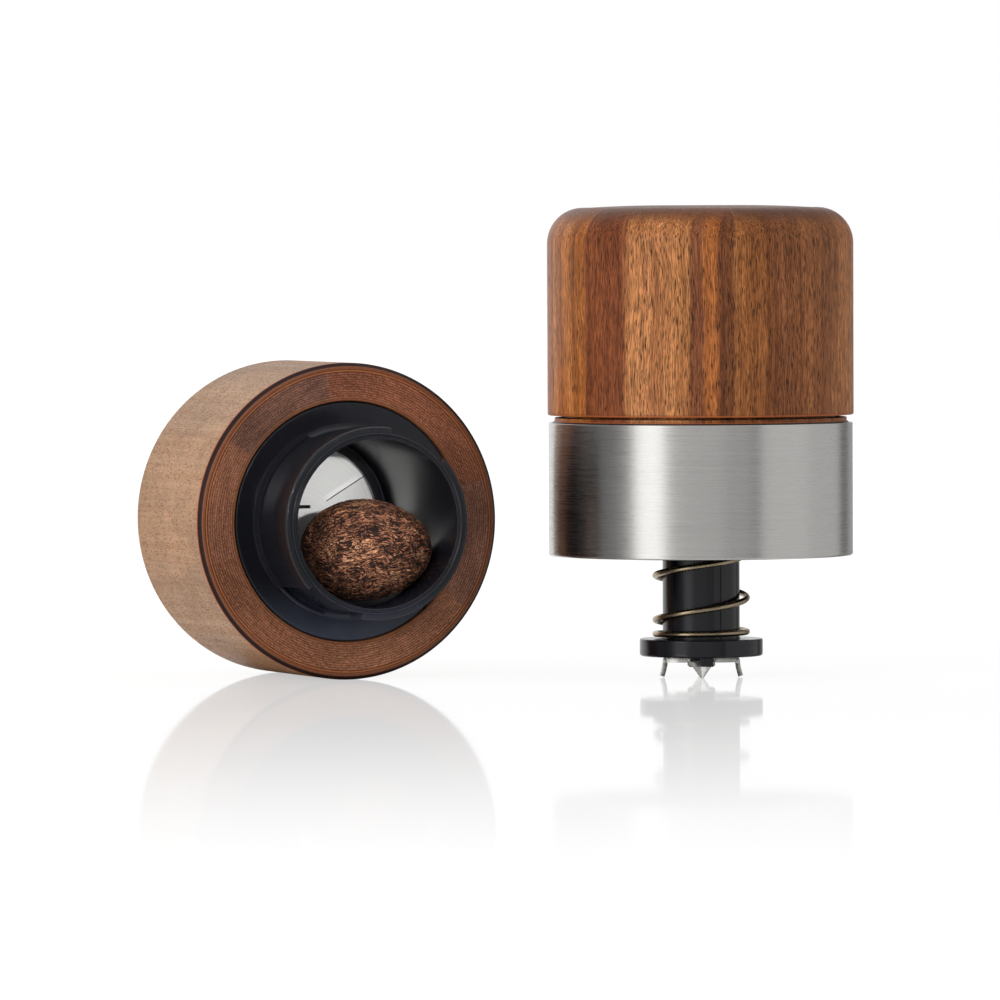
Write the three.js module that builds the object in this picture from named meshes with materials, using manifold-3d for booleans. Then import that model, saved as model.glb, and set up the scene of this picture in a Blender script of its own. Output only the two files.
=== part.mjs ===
// Mechanical nutmeg grater, opened for filling. The base half lies on its side with its mouth
// to the front, and the upper half stands beside it on the prongs of its plunger.
// Sizes are in millimetres and +Z is up. The origin is on the table under the middle of the pair.

import * as THREE from "three";
import { mergeVertices } from "three/addons/utils/BufferGeometryUtils.js";
import Module from "manifold-3d";

const wasm = await Module();
wasm.setup();

// Clearances
const seatGap = 0.3;
const turningGap = 0.3;
const screwGap = 0.3;
const socketGap = 0.4;
const guideTubeGap = 0.4;

// How the halves lie on the table
const baseYawDegrees = 21;
const faceToUpperAxis = 68.85;
const faceAheadOfUpperAxis = 7;

// Wood of the base
const baseDiameter = 62;
const baseLength = 39;
const footEdgeRound = 2.6;
const mouthEdgeChamfer = 0.9;
const footHoleDiameter = 41;
const footHoleChamfer = 1.2;

// Liner of the nutmeg chamber
const chamberDiameter = 33;
const collarWall = 1.1;
const collarRise = 16.5;
const collarFillet = 2.4;
const rimChamfer = 0.35;
const flangeDiameter = 46.8;
const flangeThickness = 2.4;
const flangeSink = 0.4;
const linerNeckWall = 1.9;
const linerFootHeight = 7;
const linerFootTaper = 1.6;
const ledgeWidth = 2.1;
const ledgeThickness = 1.5;

// Bayonet on the collar
const bayonetCount = 2;
const bayonetDiameter = 37.6;
const bayonetLipDegrees = 37;
const bayonetEntryDegrees = 38;
const bayonetStartDegrees = -138;
const bayonetRimSetback = 0.4;
const bayonetLipHeight = 7;
const bayonetTabPlayDegrees = 6;
const bayonetLipRootDegrees = 1;

// Grating disc and its retainer
const prongToDisc = 1;
const discThickness = 0.6;
const slotCount = 3;
const slotStartDegrees = 40;
const slotInnerRadius = 5.8;
const slotLength = 8;
const slotWidth = 0.9;
const bladeHeight = 0.8;
const bladeFootWidth = 1.3;
const bladeTipWidth = 0.4;
const bladeEdgeIntoSlot = 0.1;
const bladeEndInset = 0.2;
const retainerThickness = 2.8;
const retainerRingWidth = 4.6;
const discScrewCount = 3;
const discScrewDiameter = 1.8;
const discScrewLength = 8;
const discScrewHeadDiameter = 3.2;
const discScrewHeadHeight = 1;
const screwHeadEdge = 0.35;

// Nutmeg
const nutmegLength = 26.4;
const nutmegWidth = 19.8;
const nutmegBehindRim = 12;
const nutmegAside = 1.2;
const nutmegBelowAxis = 5.4;
const nutmegWrinkleDepth = 0.22;
const nutmegWrinkles = 9;
const nutmegTwistDegrees = 115;

// Steel sleeve
const sleeveDiameter = 59.6;
const sleeveHeight = 26.3;
const sleeveWall = 0.6;
const sleeveLipWidth = 1.6;
const sleeveLipThickness = 0.8;
const sleeveEdgeRound = 0.6;

// Core moulding in the sleeve
const coreRimWall = 0.6;
const coreRimAboveSleeve = 0.3;
const coreSkirtWall = 2;
const coreFloorThickness = 2;
const socketWall = 1.8;
const socketEndGap = 2;
const webThickness = 2.5;
const coreRibCount = 12;
const coreRibThickness = 1.2;
const glideRingThickness = 0.8;
const glideRingWidth = 6;

// Wooden cap
const capDiameter = 60;
const capHeight = 41;
const capTopRound = 7;
const capTopCrown = 0.5;
const capTopFlatRadius = 8;
const capEdgeChamfer = 0.4;
const capToSleeve = 1.2;
const spigotHeight = 3.4;
const boreEndGap = 2.5;

// Hub in the cap
const bossDiameter = 26;
const bossDrop = 3.5;
const springSeatDepth = 0.8;
const springSeatRimWall = 3;
const guideLipHeight = 4.5;
const guideTubeWall = 1.7;
const hubFlangeDiameter = 40;
const hubFlangeThickness = 3;
const keyCount = 2;
const keyWidth = 1.2;
const keyGrooveDepth = 0.7;
const keyStartDegrees = -66;
const hubScrewCount = 3;
const hubScrewCircleDiameter = 31;
const hubScrewStartDegrees = 90;
const hubScrewDiameter = 3;
const hubScrewLength = 10;
const hubScrewHeadDiameter = 5.8;
const hubScrewHeadHeight = 1.4;
const circlipThickness = 0.8;
const circlipWidth = 2.6;
const circlipGrooveDepth = 0.9;
const circlipMouthDegrees = 40;
const circlipEyeDiameter = 3.4;
const circlipEyeHoleDiameter = 1.4;

// Plunger
const shaftDiameter = 15.1;
const shaftBelowSleeve = 16.3;
const shaftSeatDepth = 1;
const plungerTravel = 24;
const travelEndGap = 2;
const plateDiameter = 24.1;
const plateThickness = 3.4;
const plateEdgeRound = 0.5;
const plateRimRound = 0.25;
const lugWidth = 2.8;
const lugThickness = 1.2;
const lugHeight = 1.8;
const lugToTooth = 0.4;
const prongDrop = 3.3;
const prongRadius = 7.3;
const prongTopWidth = 3;
const prongTipWidth = 0.7;
const prongSplayDegrees = 12;
const starThickness = 0.6;
const starArmWidth = 4.7;
const toothFoldDegrees = 32;
const toothTipWidth = 0.4;
const stopWasherDiameter = 17.8;
const stopWasherThickness = 1;
const plungerScrewDiameter = 2.6;
const plungerScrewHeadDiameter = 5.6;
const plungerScrewHeadHeight = 1;
const plungerScrewLength = 12;
const stopScrewHeadDiameter = 6;
const stopScrewHeadHeight = 1.8;

// Spring
const springDiameter = 19;
const springWire = 1.05;
const springTurns = 5.05;
const springClosedTurns = 0.6;
const springRampTurns = 0.5;
const springClosedPitch = 0.8;
const springStartDegrees = 144;

// Fineness of the round faces
const bodySides = 60;
const innerSides = 48;
const screwSides = 12;
const edgeSteps = 3;
const domeSteps = 7;
const crownSteps = 4;
const springStepsPerTurn = 20;
const springWireSides = 6;
const springGapStepsPerTurn = 80;
const springTangentTurns = 0.001;
const nutmegSidesAround = 32;
const nutmegSidesAlong = 18;
const overcut = 1;

// Levels of the base, from the foot at zero to the mouth
const baseRadius = baseDiameter / 2;
const footHoleRadius = footHoleDiameter / 2;
const chamberRadius = chamberDiameter / 2;
const collarRadius = chamberRadius + collarWall;
const bayonetRadius = bayonetDiameter / 2;
const flangeRadius = flangeDiameter / 2;
const flangeTop = baseLength - flangeSink;
const flangeBottom = flangeTop - flangeThickness;
const rimLevel = baseLength + collarRise;
const linerFootRadius = footHoleRadius - seatGap;
const ledgeRadius = chamberRadius - ledgeWidth;

// Levels of the upper half, from the prong tips at zero
const starTop = prongDrop + starThickness;
const plateBottom = starTop + seatGap;
const plateTop = plateBottom + plateThickness;
const sleeveBottom = plateTop + shaftBelowSleeve;
const sleeveTop = sleeveBottom + sleeveHeight;
const capBottom = sleeveTop + capToSleeve;
const capTop = capBottom + capHeight;
const webBottom = sleeveBottom + collarRise + socketEndGap;
const webTop = webBottom + webThickness;
const glideRingBottom = webTop + seatGap;
const hubFlangeBottom = glideRingBottom + glideRingThickness + seatGap;
const hubFlangeTop = hubFlangeBottom + hubFlangeThickness;
const bossBottom = webBottom - bossDrop;
const springSeat = bossBottom + springSeatDepth;
const guideLipTop = springSeat + guideLipHeight;
const washerBottom = guideLipTop + seatGap;
const washerTop = washerBottom + stopWasherThickness;
const stopHeadBottom = washerTop + seatGap;
const stopHeadTop = stopHeadBottom + stopScrewHeadHeight;
const guideTubeTop = stopHeadTop + plungerTravel + travelEndGap;
const capBoreTop = guideTubeTop + boreEndGap;
const spigotBottom = capBottom - spigotHeight;

// Radii of the upper half
const sleeveRadius = sleeveDiameter / 2;
const coreRadius = sleeveRadius - sleeveWall - seatGap;
const coreRimRadius = coreRadius - coreRimWall;
const coreSkirtRadius = coreRadius - coreSkirtWall;
const spigotRadius = coreRimRadius - turningGap;
const socketRadius = bayonetRadius + socketGap;
const socketOuterRadius = socketRadius + socketWall;
const bossRadius = bossDiameter / 2;
const webHoleRadius = bossRadius + turningGap;
const hubFlangeRadius = hubFlangeDiameter / 2;
const shaftRadius = shaftDiameter / 2;
const guideLipRadius = shaftRadius + turningGap;
const stopWasherRadius = stopWasherDiameter / 2;
const guideTubeRadius = stopWasherRadius + guideTubeGap;
const guideTubeOuterRadius = guideTubeRadius + guideTubeWall;
const capBoreRadius = guideTubeOuterRadius + seatGap;

// Levels of the disc, set by how far the prongs reach below the sleeve
const discTop = baseLength - sleeveBottom - prongToDisc;
const discBottom = discTop - discThickness;
const ledgeBottom = discTop + seatGap;
const ledgeTop = ledgeBottom + ledgeThickness;
const retainerTop = discBottom - seatGap;
const retainerBottom = retainerTop - retainerThickness;
const retainerRadius = linerFootRadius;
const discRadius = linerFootRadius;
const discScrewCircleRadius = (chamberRadius + linerFootRadius) / 2;
const discScrewStartDegrees = slotStartDegrees + 180 / slotCount;

const radians = THREE.MathUtils.degToRad;

// Shape helpers

function point(x, y) {
  return new THREE.Vector2(x, y);
}

// Points of a round edge in a profile, from one angle to another round its centre.
function roundEdge(centreX, centreY, radius, fromDegrees, toDegrees, steps) {
  const points = [];
  for (let i = 0; i <= steps; i += 1) {
    const angle = radians(fromDegrees + ((toDegrees - fromDegrees) * i) / steps);
    points.push(point(centreX + radius * Math.cos(angle), centreY + radius * Math.sin(angle)));
  }
  return points;
}

// A solid of revolution round Z from a profile of radius and height.
function revolve(profile, sides) {
  const closed = [...profile];
  const onAxis = profile[0].x === 0 && profile[profile.length - 1].x === 0;
  if (THREE.ShapeUtils.isClockWise(profile)) closed.reverse();
  if (!onAxis) closed.push(closed[0].clone());
  const geometry = new THREE.LatheGeometry(closed, sides);
  geometry.rotateX(Math.PI / 2);
  geometry.rotateZ(Math.PI / sides);
  return geometry;
}

function cylinder(radius, bottom, top, sides) {
  return revolve([point(0, bottom), point(radius, bottom), point(radius, top), point(0, top)], sides);
}

function ring(innerRadius, outerRadius, bottom, top, sides) {
  const profile = [
    point(innerRadius, bottom),
    point(outerRadius, bottom),
    point(outerRadius, top),
    point(innerRadius, top),
  ];
  return revolve(profile, sides);
}

function extrude(shape, bottom, top, curveSegments = edgeSteps) {
  const settings = { depth: top - bottom, bevelEnabled: false, curveSegments };
  return new THREE.ExtrudeGeometry(shape, settings).translate(0, 0, bottom);
}

function polygon(points) {
  return new THREE.Shape(points);
}

// A stretch of a ring between two angles.
function ringSector(innerRadius, outerRadius, fromDegrees, toDegrees, bottom, top) {
  const shape = new THREE.Shape();
  shape.absarc(0, 0, outerRadius, radians(fromDegrees), radians(toDegrees), false);
  shape.absarc(0, 0, innerRadius, radians(toDegrees), radians(fromDegrees), true);
  const steps = Math.ceil((((toDegrees - fromDegrees) / 360) * bodySides) / 2);
  return extrude(shape, bottom, top, steps);
}

// A block that reaches from one radius to another, level with the angle given.
function radialBlock(innerRadius, outerRadius, width, bottom, top, degrees) {
  const geometry = new THREE.BoxGeometry(outerRadius - innerRadius, width, top - bottom);
  geometry.translate((innerRadius + outerRadius) / 2, 0, (bottom + top) / 2);
  return geometry.rotateZ(radians(degrees));
}

function onCircle(geometry, radius, degrees) {
  const angle = radians(degrees);
  return geometry.translate(radius * Math.cos(angle), radius * Math.sin(angle), 0);
}

function repeatRound(count, startDegrees, make) {
  return Array.from({ length: count }, (_, i) => make(startDegrees + (360 * i) / count));
}

// Joins and cuts

function toSolid(geometry) {
  const bare = geometry.clone();
  bare.deleteAttribute("normal");
  bare.deleteAttribute("uv");
  const merged = mergeVertices(bare, 1e-4);
  const corners = Array.from(merged.index.array);
  const faces = [];
  for (let i = 0; i < corners.length; i += 3) {
    const [a, b, c] = corners.slice(i, i + 3);
    if (a !== b && b !== c && c !== a) faces.push(a, b, c);
  }
  const mesh = new wasm.Mesh({
    numProp: 3,
    vertProperties: new Float32Array(merged.attributes.position.array),
    triVerts: new Uint32Array(faces),
  });
  return new wasm.Manifold(mesh);
}

function toGeometry(solid) {
  const mesh = solid.getMesh();
  const geometry = new THREE.BufferGeometry();
  geometry.setAttribute("position", new THREE.BufferAttribute(mesh.vertProperties, 3));
  geometry.setIndex(new THREE.BufferAttribute(mesh.triVerts, 1));
  return geometry;
}

function join(geometry, additions) {
  return toGeometry(additions.reduce((solid, add) => solid.add(toSolid(add)), toSolid(geometry)));
}

function cut(geometry, tools) {
  return toGeometry(tools.reduce((solid, tool) => solid.subtract(toSolid(tool)), toSolid(geometry)));
}

function intersect(geometry, other) {
  return toGeometry(toSolid(geometry).intersect(toSolid(other)));
}

// Finishes

function finish(color, roughness, metalness = 0) {
  return new THREE.MeshStandardMaterial({ color, roughness, metalness, flatShading: true });
}

const baseWoodFinish = finish(0x8a5432, 0.5);
const capWoodFinish = finish(0x9a5526, 0.42);
const blackMoulding = finish(0x1c1d22, 0.38);
const brushedSteel = finish(0xb9b9b8, 0.34, 1);
const brightSteel = finish(0xd4d4d2, 0.25, 1);
const springSteel = finish(0xa8966f, 0.3, 1);
const glideNylon = finish(0xd9d6cc, 0.5);
const nutmegSkin = finish(0x6b432c, 0.8);

function piece(name, geometry, material) {
  const mesh = new THREE.Mesh(geometry, material);
  if (!geometry.getAttribute("normal")) geometry.computeVertexNormals();
  mesh.name = name;
  return mesh;
}

// Base half, with its axis along Z and its foot at zero

// Turned ring: rounded foot edge, chamfered mouth edge and a seat for the liner's flange.
function baseWood() {
  const seatRadius = flangeRadius + seatGap;
  const seatLevel = flangeBottom - seatGap;
  const profile = [
    point(footHoleRadius + footHoleChamfer, 0),
    ...roundEdge(baseRadius - footEdgeRound, footEdgeRound, footEdgeRound, -90, 0, 2 * edgeSteps),
    point(baseRadius, baseLength - mouthEdgeChamfer),
    point(baseRadius - mouthEdgeChamfer, baseLength),
    point(seatRadius, baseLength),
    point(seatRadius, seatLevel),
    point(footHoleRadius, seatLevel),
    point(footHoleRadius, footHoleChamfer),
  ];
  return revolve(profile, bodySides);
}

// One bayonet start: a full-height block and the lip that the sleeve's tab turns under.
function bayonetStart(startDegrees) {
  const blockDegrees = 360 / bayonetCount - bayonetLipDegrees - bayonetEntryDegrees;
  const blockEnd = startDegrees - blockDegrees;
  const innerRadius = chamberRadius + collarWall / 2;
  const top = rimLevel - bayonetRimSetback;
  const lipBottom = top - bayonetLipHeight;
  const blockRoot = flangeTop - flangeThickness / 2;
  const block = ringSector(innerRadius, bayonetRadius, blockEnd, startDegrees, blockRoot, top);
  const lipStart = blockEnd - bayonetLipDegrees;
  const lipEnd = blockEnd + bayonetLipRootDegrees;
  const lip = ringSector(innerRadius, bayonetRadius, lipStart, lipEnd, lipBottom, top);
  return [block, lip];
}

// Liner: collar, filleted flange, neck, thick foot for the screws, and the ledge over the disc.
function chamberLiner() {
  const neckRadius = chamberRadius + linerNeckWall;
  const footTop = ledgeBottom + linerFootHeight;
  const filletX = collarRadius + collarFillet;
  const filletY = flangeTop + collarFillet;
  const profile = [
    point(ledgeRadius, ledgeBottom),
    point(linerFootRadius, ledgeBottom),
    point(linerFootRadius, footTop),
    point(neckRadius, footTop + linerFootTaper),
    point(neckRadius, flangeBottom),
    point(flangeRadius, flangeBottom),
    point(flangeRadius, flangeTop),
    ...roundEdge(filletX, filletY, collarFillet, 270, 180, edgeSteps),
    point(collarRadius, rimLevel - rimChamfer),
    point(collarRadius - rimChamfer, rimLevel),
    point(chamberRadius + rimChamfer, rimLevel),
    point(chamberRadius, rimLevel - rimChamfer),
    point(chamberRadius, ledgeTop),
    point(ledgeRadius, ledgeTop),
  ];
  const starts = repeatRound(bayonetCount, bayonetStartDegrees, bayonetStart).flat();
  const screwHoles = repeatRound(discScrewCount, discScrewStartDegrees, (degrees) =>
    onCircle(
      cylinder(
        discScrewDiameter / 2 + screwGap,
        ledgeBottom - overcut,
        retainerBottom + discScrewLength + overcut,
        screwSides,
      ),
      discScrewCircleRadius,
      degrees,
    ),
  );
  return cut(join(revolve(profile, bodySides), starts), screwHoles);
}

// Disc with slots, each with its raised cutting blade along one edge.
function gratingDisc() {
  const plain = cylinder(discRadius, discBottom, discTop, innerSides);
  const slotOuterRadius = slotInnerRadius + slotLength;
  const slots = repeatRound(slotCount, slotStartDegrees, (degrees) =>
    radialBlock(
      slotInnerRadius,
      slotOuterRadius,
      slotWidth,
      discBottom - overcut,
      discTop + overcut,
      degrees,
    ),
  );
  const holes = repeatRound(discScrewCount, discScrewStartDegrees, (degrees) =>
    onCircle(
      cylinder(discScrewDiameter / 2 + screwGap, discBottom - overcut, discTop + overcut, screwSides),
      discScrewCircleRadius,
      degrees,
    ),
  );
  const rootLevel = discTop - discThickness / 2;
  const edge = slotWidth / 2 - bladeEdgeIntoSlot;
  const bladeSection = polygon([
    point(edge, rootLevel),
    point(edge + bladeFootWidth, rootLevel),
    point(edge + bladeFootWidth, discTop),
    point(bladeTipWidth, discTop + bladeHeight),
    point(0, discTop + bladeHeight),
  ]);
  const blades = repeatRound(slotCount, slotStartDegrees, (degrees) => {
    const blade = extrude(bladeSection, slotInnerRadius + bladeEndInset, slotOuterRadius - bladeEndInset);
    blade.rotateX(Math.PI / 2);
    blade.rotateZ(Math.PI / 2);
    return blade.rotateZ(radians(degrees));
  });
  return join(cut(plain, [...slots, ...holes]), blades);
}

// Ring under the disc, with countersunk holes for its screws.
function discRetainer() {
  const innerRadius = retainerRadius - retainerRingWidth;
  const plain = ring(innerRadius, retainerRadius, retainerBottom, retainerTop, innerSides);
  const holes = repeatRound(discScrewCount, discScrewStartDegrees, (degrees) =>
    onCircle(
      cylinder(discScrewDiameter / 2 + screwGap, retainerBottom - overcut, retainerTop + overcut, screwSides),
      discScrewCircleRadius,
      degrees,
    ),
  );
  const sinks = repeatRound(discScrewCount, discScrewStartDegrees, (degrees) =>
    onCircle(
      cylinder(
        discScrewHeadDiameter / 2 + screwGap / 2,
        retainerBottom - overcut,
        retainerBottom + discScrewHeadHeight + screwGap,
        screwSides,
      ),
      discScrewCircleRadius,
      degrees,
    ),
  );
  return cut(plain, [...holes, ...sinks]);
}

// A screw that points up: a flat head with rounded edges, and a shank with a pointed end.
function screw(headDiameter, headHeight, shankDiameter, length, headBottom) {
  const headRadius = headDiameter / 2;
  const shankRadius = shankDiameter / 2;
  const profile = [
    point(0, headBottom),
    point(headRadius - screwHeadEdge, headBottom),
    point(headRadius, headBottom + screwHeadEdge),
    point(headRadius, headBottom + headHeight),
    point(shankRadius, headBottom + headHeight),
    point(shankRadius, headBottom + length - shankRadius),
    point(0, headBottom + length),
  ];
  return revolve(profile, screwSides);
}

function discScrews() {
  return repeatRound(discScrewCount, discScrewStartDegrees, (degrees) =>
    onCircle(
      screw(discScrewHeadDiameter, discScrewHeadHeight, discScrewDiameter, discScrewLength, retainerBottom),
      discScrewCircleRadius,
      degrees,
    ),
  );
}

// Nutmeg: an egg shape with shallow furrows along its length.
function nutmegShape() {
  const geometry = new THREE.SphereGeometry(1, nutmegSidesAround, nutmegSidesAlong);
  geometry.rotateZ(Math.PI / 2);
  const places = geometry.getAttribute("position");
  const halfWidth = nutmegWidth / 2;
  const place = new THREE.Vector3();
  for (let i = 0; i < places.count; i += 1) {
    place.fromBufferAttribute(places, i);
    const around = Math.atan2(place.z, place.y);
    const bulge = Math.sqrt(Math.max(0, 1 - place.x * place.x));
    const twist = radians(nutmegTwistDegrees) * place.x;
    const furrow = (1 + Math.cos(nutmegWrinkles * around + twist)) / 2;
    const girth = halfWidth - nutmegWrinkleDepth * furrow * bulge;
    places.setXYZ(i, (place.x * nutmegLength) / 2, place.y * girth, place.z * girth);
  }
  geometry.computeVertexNormals();
  return geometry.translate(nutmegAside, -nutmegBelowAxis, rimLevel - nutmegBehindRim);
}

// Upper half, with its axis along Z and its prong tips at zero

// Thin steel band with a lip turned in at its lower edge.
function steelSleeve() {
  const innerRadius = sleeveRadius - sleeveWall;
  const lipTop = sleeveBottom + sleeveLipThickness;
  const lipRadius = sleeveRadius - sleeveLipWidth;
  const roundX = sleeveRadius - sleeveEdgeRound;
  const profile = [
    point(lipRadius, sleeveBottom),
    ...roundEdge(roundX, sleeveBottom + sleeveEdgeRound, sleeveEdgeRound, -90, 0, edgeSteps),
    point(sleeveRadius, sleeveTop),
    point(innerRadius, sleeveTop),
    point(innerRadius, lipTop),
    point(lipRadius, lipTop),
  ];
  return revolve(profile, bodySides);
}

// Core: skirt against the band, floor, socket for the collar with two tabs, web and ribs.
function sleeveCore() {
  const bottom = sleeveBottom + sleeveLipThickness + seatGap;
  const floorTop = bottom + coreFloorThickness;
  const shoulder = spigotBottom - turningGap;
  const top = sleeveTop + coreRimAboveSleeve;
  const profile = [
    point(socketRadius, bottom),
    point(coreRadius, bottom),
    point(coreRadius, top),
    point(coreRimRadius, top),
    point(coreRimRadius, shoulder),
    point(coreSkirtRadius, shoulder),
    point(coreSkirtRadius, floorTop),
    point(socketOuterRadius, floorTop),
    point(socketOuterRadius, webTop),
    point(webHoleRadius, webTop),
    point(webHoleRadius, webBottom),
    point(socketRadius, webBottom),
  ];
  const tabBottom = sleeveBottom - flangeSink + collarFillet + turningGap;
  const lipBottom = sleeveBottom + collarRise - bayonetRimSetback - bayonetLipHeight;
  const tabTop = lipBottom - turningGap;
  const tabHalfAngle = (bayonetEntryDegrees - bayonetTabPlayDegrees) / 2;
  const tabs = repeatRound(bayonetCount, 0, (degrees) =>
    ringSector(
      collarRadius + turningGap,
      socketRadius + socketWall / 2,
      degrees - tabHalfAngle,
      degrees + tabHalfAngle,
      tabBottom,
      tabTop,
    ),
  );
  const ribs = repeatRound(coreRibCount, 180 / coreRibCount, (degrees) =>
    radialBlock(
      socketOuterRadius - socketWall / 2,
      coreSkirtRadius + coreSkirtWall / 2,
      coreRibThickness,
      floorTop - coreFloorThickness / 2,
      webTop,
      degrees,
    ),
  );
  return join(revolve(profile, bodySides), [...tabs, ...ribs]);
}

function glideRing() {
  const innerRadius = webHoleRadius + turningGap;
  const outerRadius = innerRadius + glideRingWidth;
  return ring(innerRadius, outerRadius, glideRingBottom, glideRingBottom + glideRingThickness, innerSides);
}

// Knob with a rounded top, a spigot into the sleeve, and a stepped bore for the hub.
function capWood() {
  const capRadius = capDiameter / 2;
  const recessRadius = hubFlangeRadius + seatGap;
  const recessLevel = hubFlangeTop + seatGap;
  const roundX = capRadius - capTopRound;
  const crown = Array.from({ length: crownSteps }, (_, i) => {
    const share = 1 - (i + 1) / crownSteps;
    const radius = capTopFlatRadius + (roundX - capTopFlatRadius) * share;
    return point(radius, capTop - capTopCrown * share * share);
  });
  const profile = [
    point(0, capBoreTop),
    point(capBoreRadius, capBoreTop),
    point(capBoreRadius, recessLevel),
    point(recessRadius, recessLevel),
    point(recessRadius, spigotBottom),
    point(spigotRadius, spigotBottom),
    point(spigotRadius, capBottom),
    point(capRadius - capEdgeChamfer, capBottom),
    point(capRadius, capBottom + capEdgeChamfer),
    ...roundEdge(roundX, capTop - capTopCrown - capTopRound, capTopRound, 0, 90, domeSteps),
    ...crown,
    point(0, capTop),
  ];
  const pilots = repeatRound(hubScrewCount, hubScrewStartDegrees, (degrees) =>
    onCircle(
      cylinder(
        hubScrewDiameter / 2 + screwGap,
        recessLevel - overcut,
        hubFlangeBottom + seatGap + hubScrewLength + overcut,
        screwSides,
      ),
      hubScrewCircleDiameter / 2,
      degrees,
    ),
  );
  return cut(revolve(profile, bodySides), pilots);
}

// Hub: spring seat, keyed guide lip, grooved boss, flange and guide tube.
function capHub() {
  const grooveTop = webBottom - turningGap / 2;
  const grooveBottom = grooveTop - circlipThickness - 2 * seatGap;
  const grooveRadius = bossRadius - circlipGrooveDepth;
  const seatRadius = bossRadius - springSeatRimWall;
  const profile = [
    point(guideLipRadius, springSeat),
    point(seatRadius, springSeat),
    point(seatRadius, bossBottom),
    point(bossRadius, bossBottom),
    point(bossRadius, grooveBottom),
    point(grooveRadius, grooveBottom),
    point(grooveRadius, grooveTop),
    point(bossRadius, grooveTop),
    point(bossRadius, hubFlangeBottom),
    point(hubFlangeRadius, hubFlangeBottom),
    point(hubFlangeRadius, hubFlangeTop),
    point(guideTubeOuterRadius, hubFlangeTop),
    point(guideTubeOuterRadius, guideTubeTop),
    point(guideTubeRadius, guideTubeTop),
    point(guideTubeRadius, guideLipTop),
    point(guideLipRadius, guideLipTop),
  ];
  const keyTip = shaftRadius - keyGrooveDepth + turningGap;
  const keys = repeatRound(keyCount, keyStartDegrees, (degrees) =>
    radialBlock(keyTip, guideLipRadius + seatGap, keyWidth, springSeat, guideLipTop, degrees),
  );
  const holeRadius = hubScrewDiameter / 2 + screwGap;
  const headHoleRadius = hubScrewHeadDiameter / 2 + screwGap;
  const headSeat = hubFlangeBottom + seatGap + hubScrewHeadHeight + screwGap;
  const holes = repeatRound(hubScrewCount, hubScrewStartDegrees, (degrees) =>
    onCircle(
      cylinder(holeRadius, hubFlangeBottom - overcut, hubFlangeTop + overcut, screwSides),
      hubScrewCircleDiameter / 2,
      degrees,
    ),
  );
  const sinks = repeatRound(hubScrewCount, hubScrewStartDegrees, (degrees) =>
    onCircle(
      cylinder(headHoleRadius, hubFlangeBottom - overcut, headSeat, screwSides),
      hubScrewCircleDiameter / 2,
      degrees,
    ),
  );
  return cut(join(revolve(profile, innerSides), keys), [...holes, ...sinks]);
}

function hubScrews() {
  return repeatRound(hubScrewCount, hubScrewStartDegrees, (degrees) =>
    onCircle(
      screw(
        hubScrewHeadDiameter,
        hubScrewHeadHeight,
        hubScrewDiameter,
        hubScrewLength,
        hubFlangeBottom + seatGap,
      ),
      hubScrewCircleDiameter / 2,
      degrees,
    ),
  );
}

// Open spring clip under the web, with an eye at each end.
function hubCirclip() {
  const bottom = webBottom - turningGap / 2 - seatGap - circlipThickness;
  const top = bottom + circlipThickness;
  const innerRadius = bossRadius - circlipGrooveDepth + seatGap;
  const outerRadius = innerRadius + circlipWidth;
  const from = circlipMouthDegrees / 2;
  const clip = ringSector(innerRadius, outerRadius, from, 360 - from, bottom, top);
  const eyeRadius = circlipEyeDiameter / 2;
  const eyeCircle = innerRadius + eyeRadius;
  const eyes = [from, 360 - from].map((degrees) =>
    onCircle(cylinder(eyeRadius, bottom, top, screwSides), eyeCircle, degrees),
  );
  const eyeHoles = [from, 360 - from].map((degrees) =>
    onCircle(
      cylinder(circlipEyeHoleDiameter / 2, bottom - overcut, top + overcut, screwSides),
      eyeCircle,
      degrees,
    ),
  );
  return cut(join(clip, eyes), eyeHoles);
}

// Plunger

// Shaft with key grooves along it and a screw hole in each end.
function plungerShaft() {
  const bottom = plateTop - shaftSeatDepth + seatGap;
  const plain = cylinder(shaftRadius, bottom, guideLipTop, innerSides);
  const grooves = repeatRound(keyCount, keyStartDegrees, (degrees) =>
    radialBlock(
      shaftRadius - keyGrooveDepth,
      shaftRadius + overcut,
      keyWidth + 2 * turningGap,
      plateTop,
      guideLipTop + overcut,
      degrees,
    ),
  );
  const holeRadius = plungerScrewDiameter / 2 + screwGap;
  const lowerHoleTop = plateScrewBottom() + plungerScrewLength + overcut;
  const upperHoleBottom = stopHeadTop - plungerScrewLength - overcut;
  const holes = [
    cylinder(holeRadius, bottom - overcut, lowerHoleTop, screwSides),
    cylinder(holeRadius, upperHoleBottom, guideLipTop + overcut, screwSides),
  ];
  return cut(plain, [...grooves, ...holes]);
}

function plateScrewBottom() {
  return prongDrop - seatGap - plungerScrewHeadHeight;
}

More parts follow.
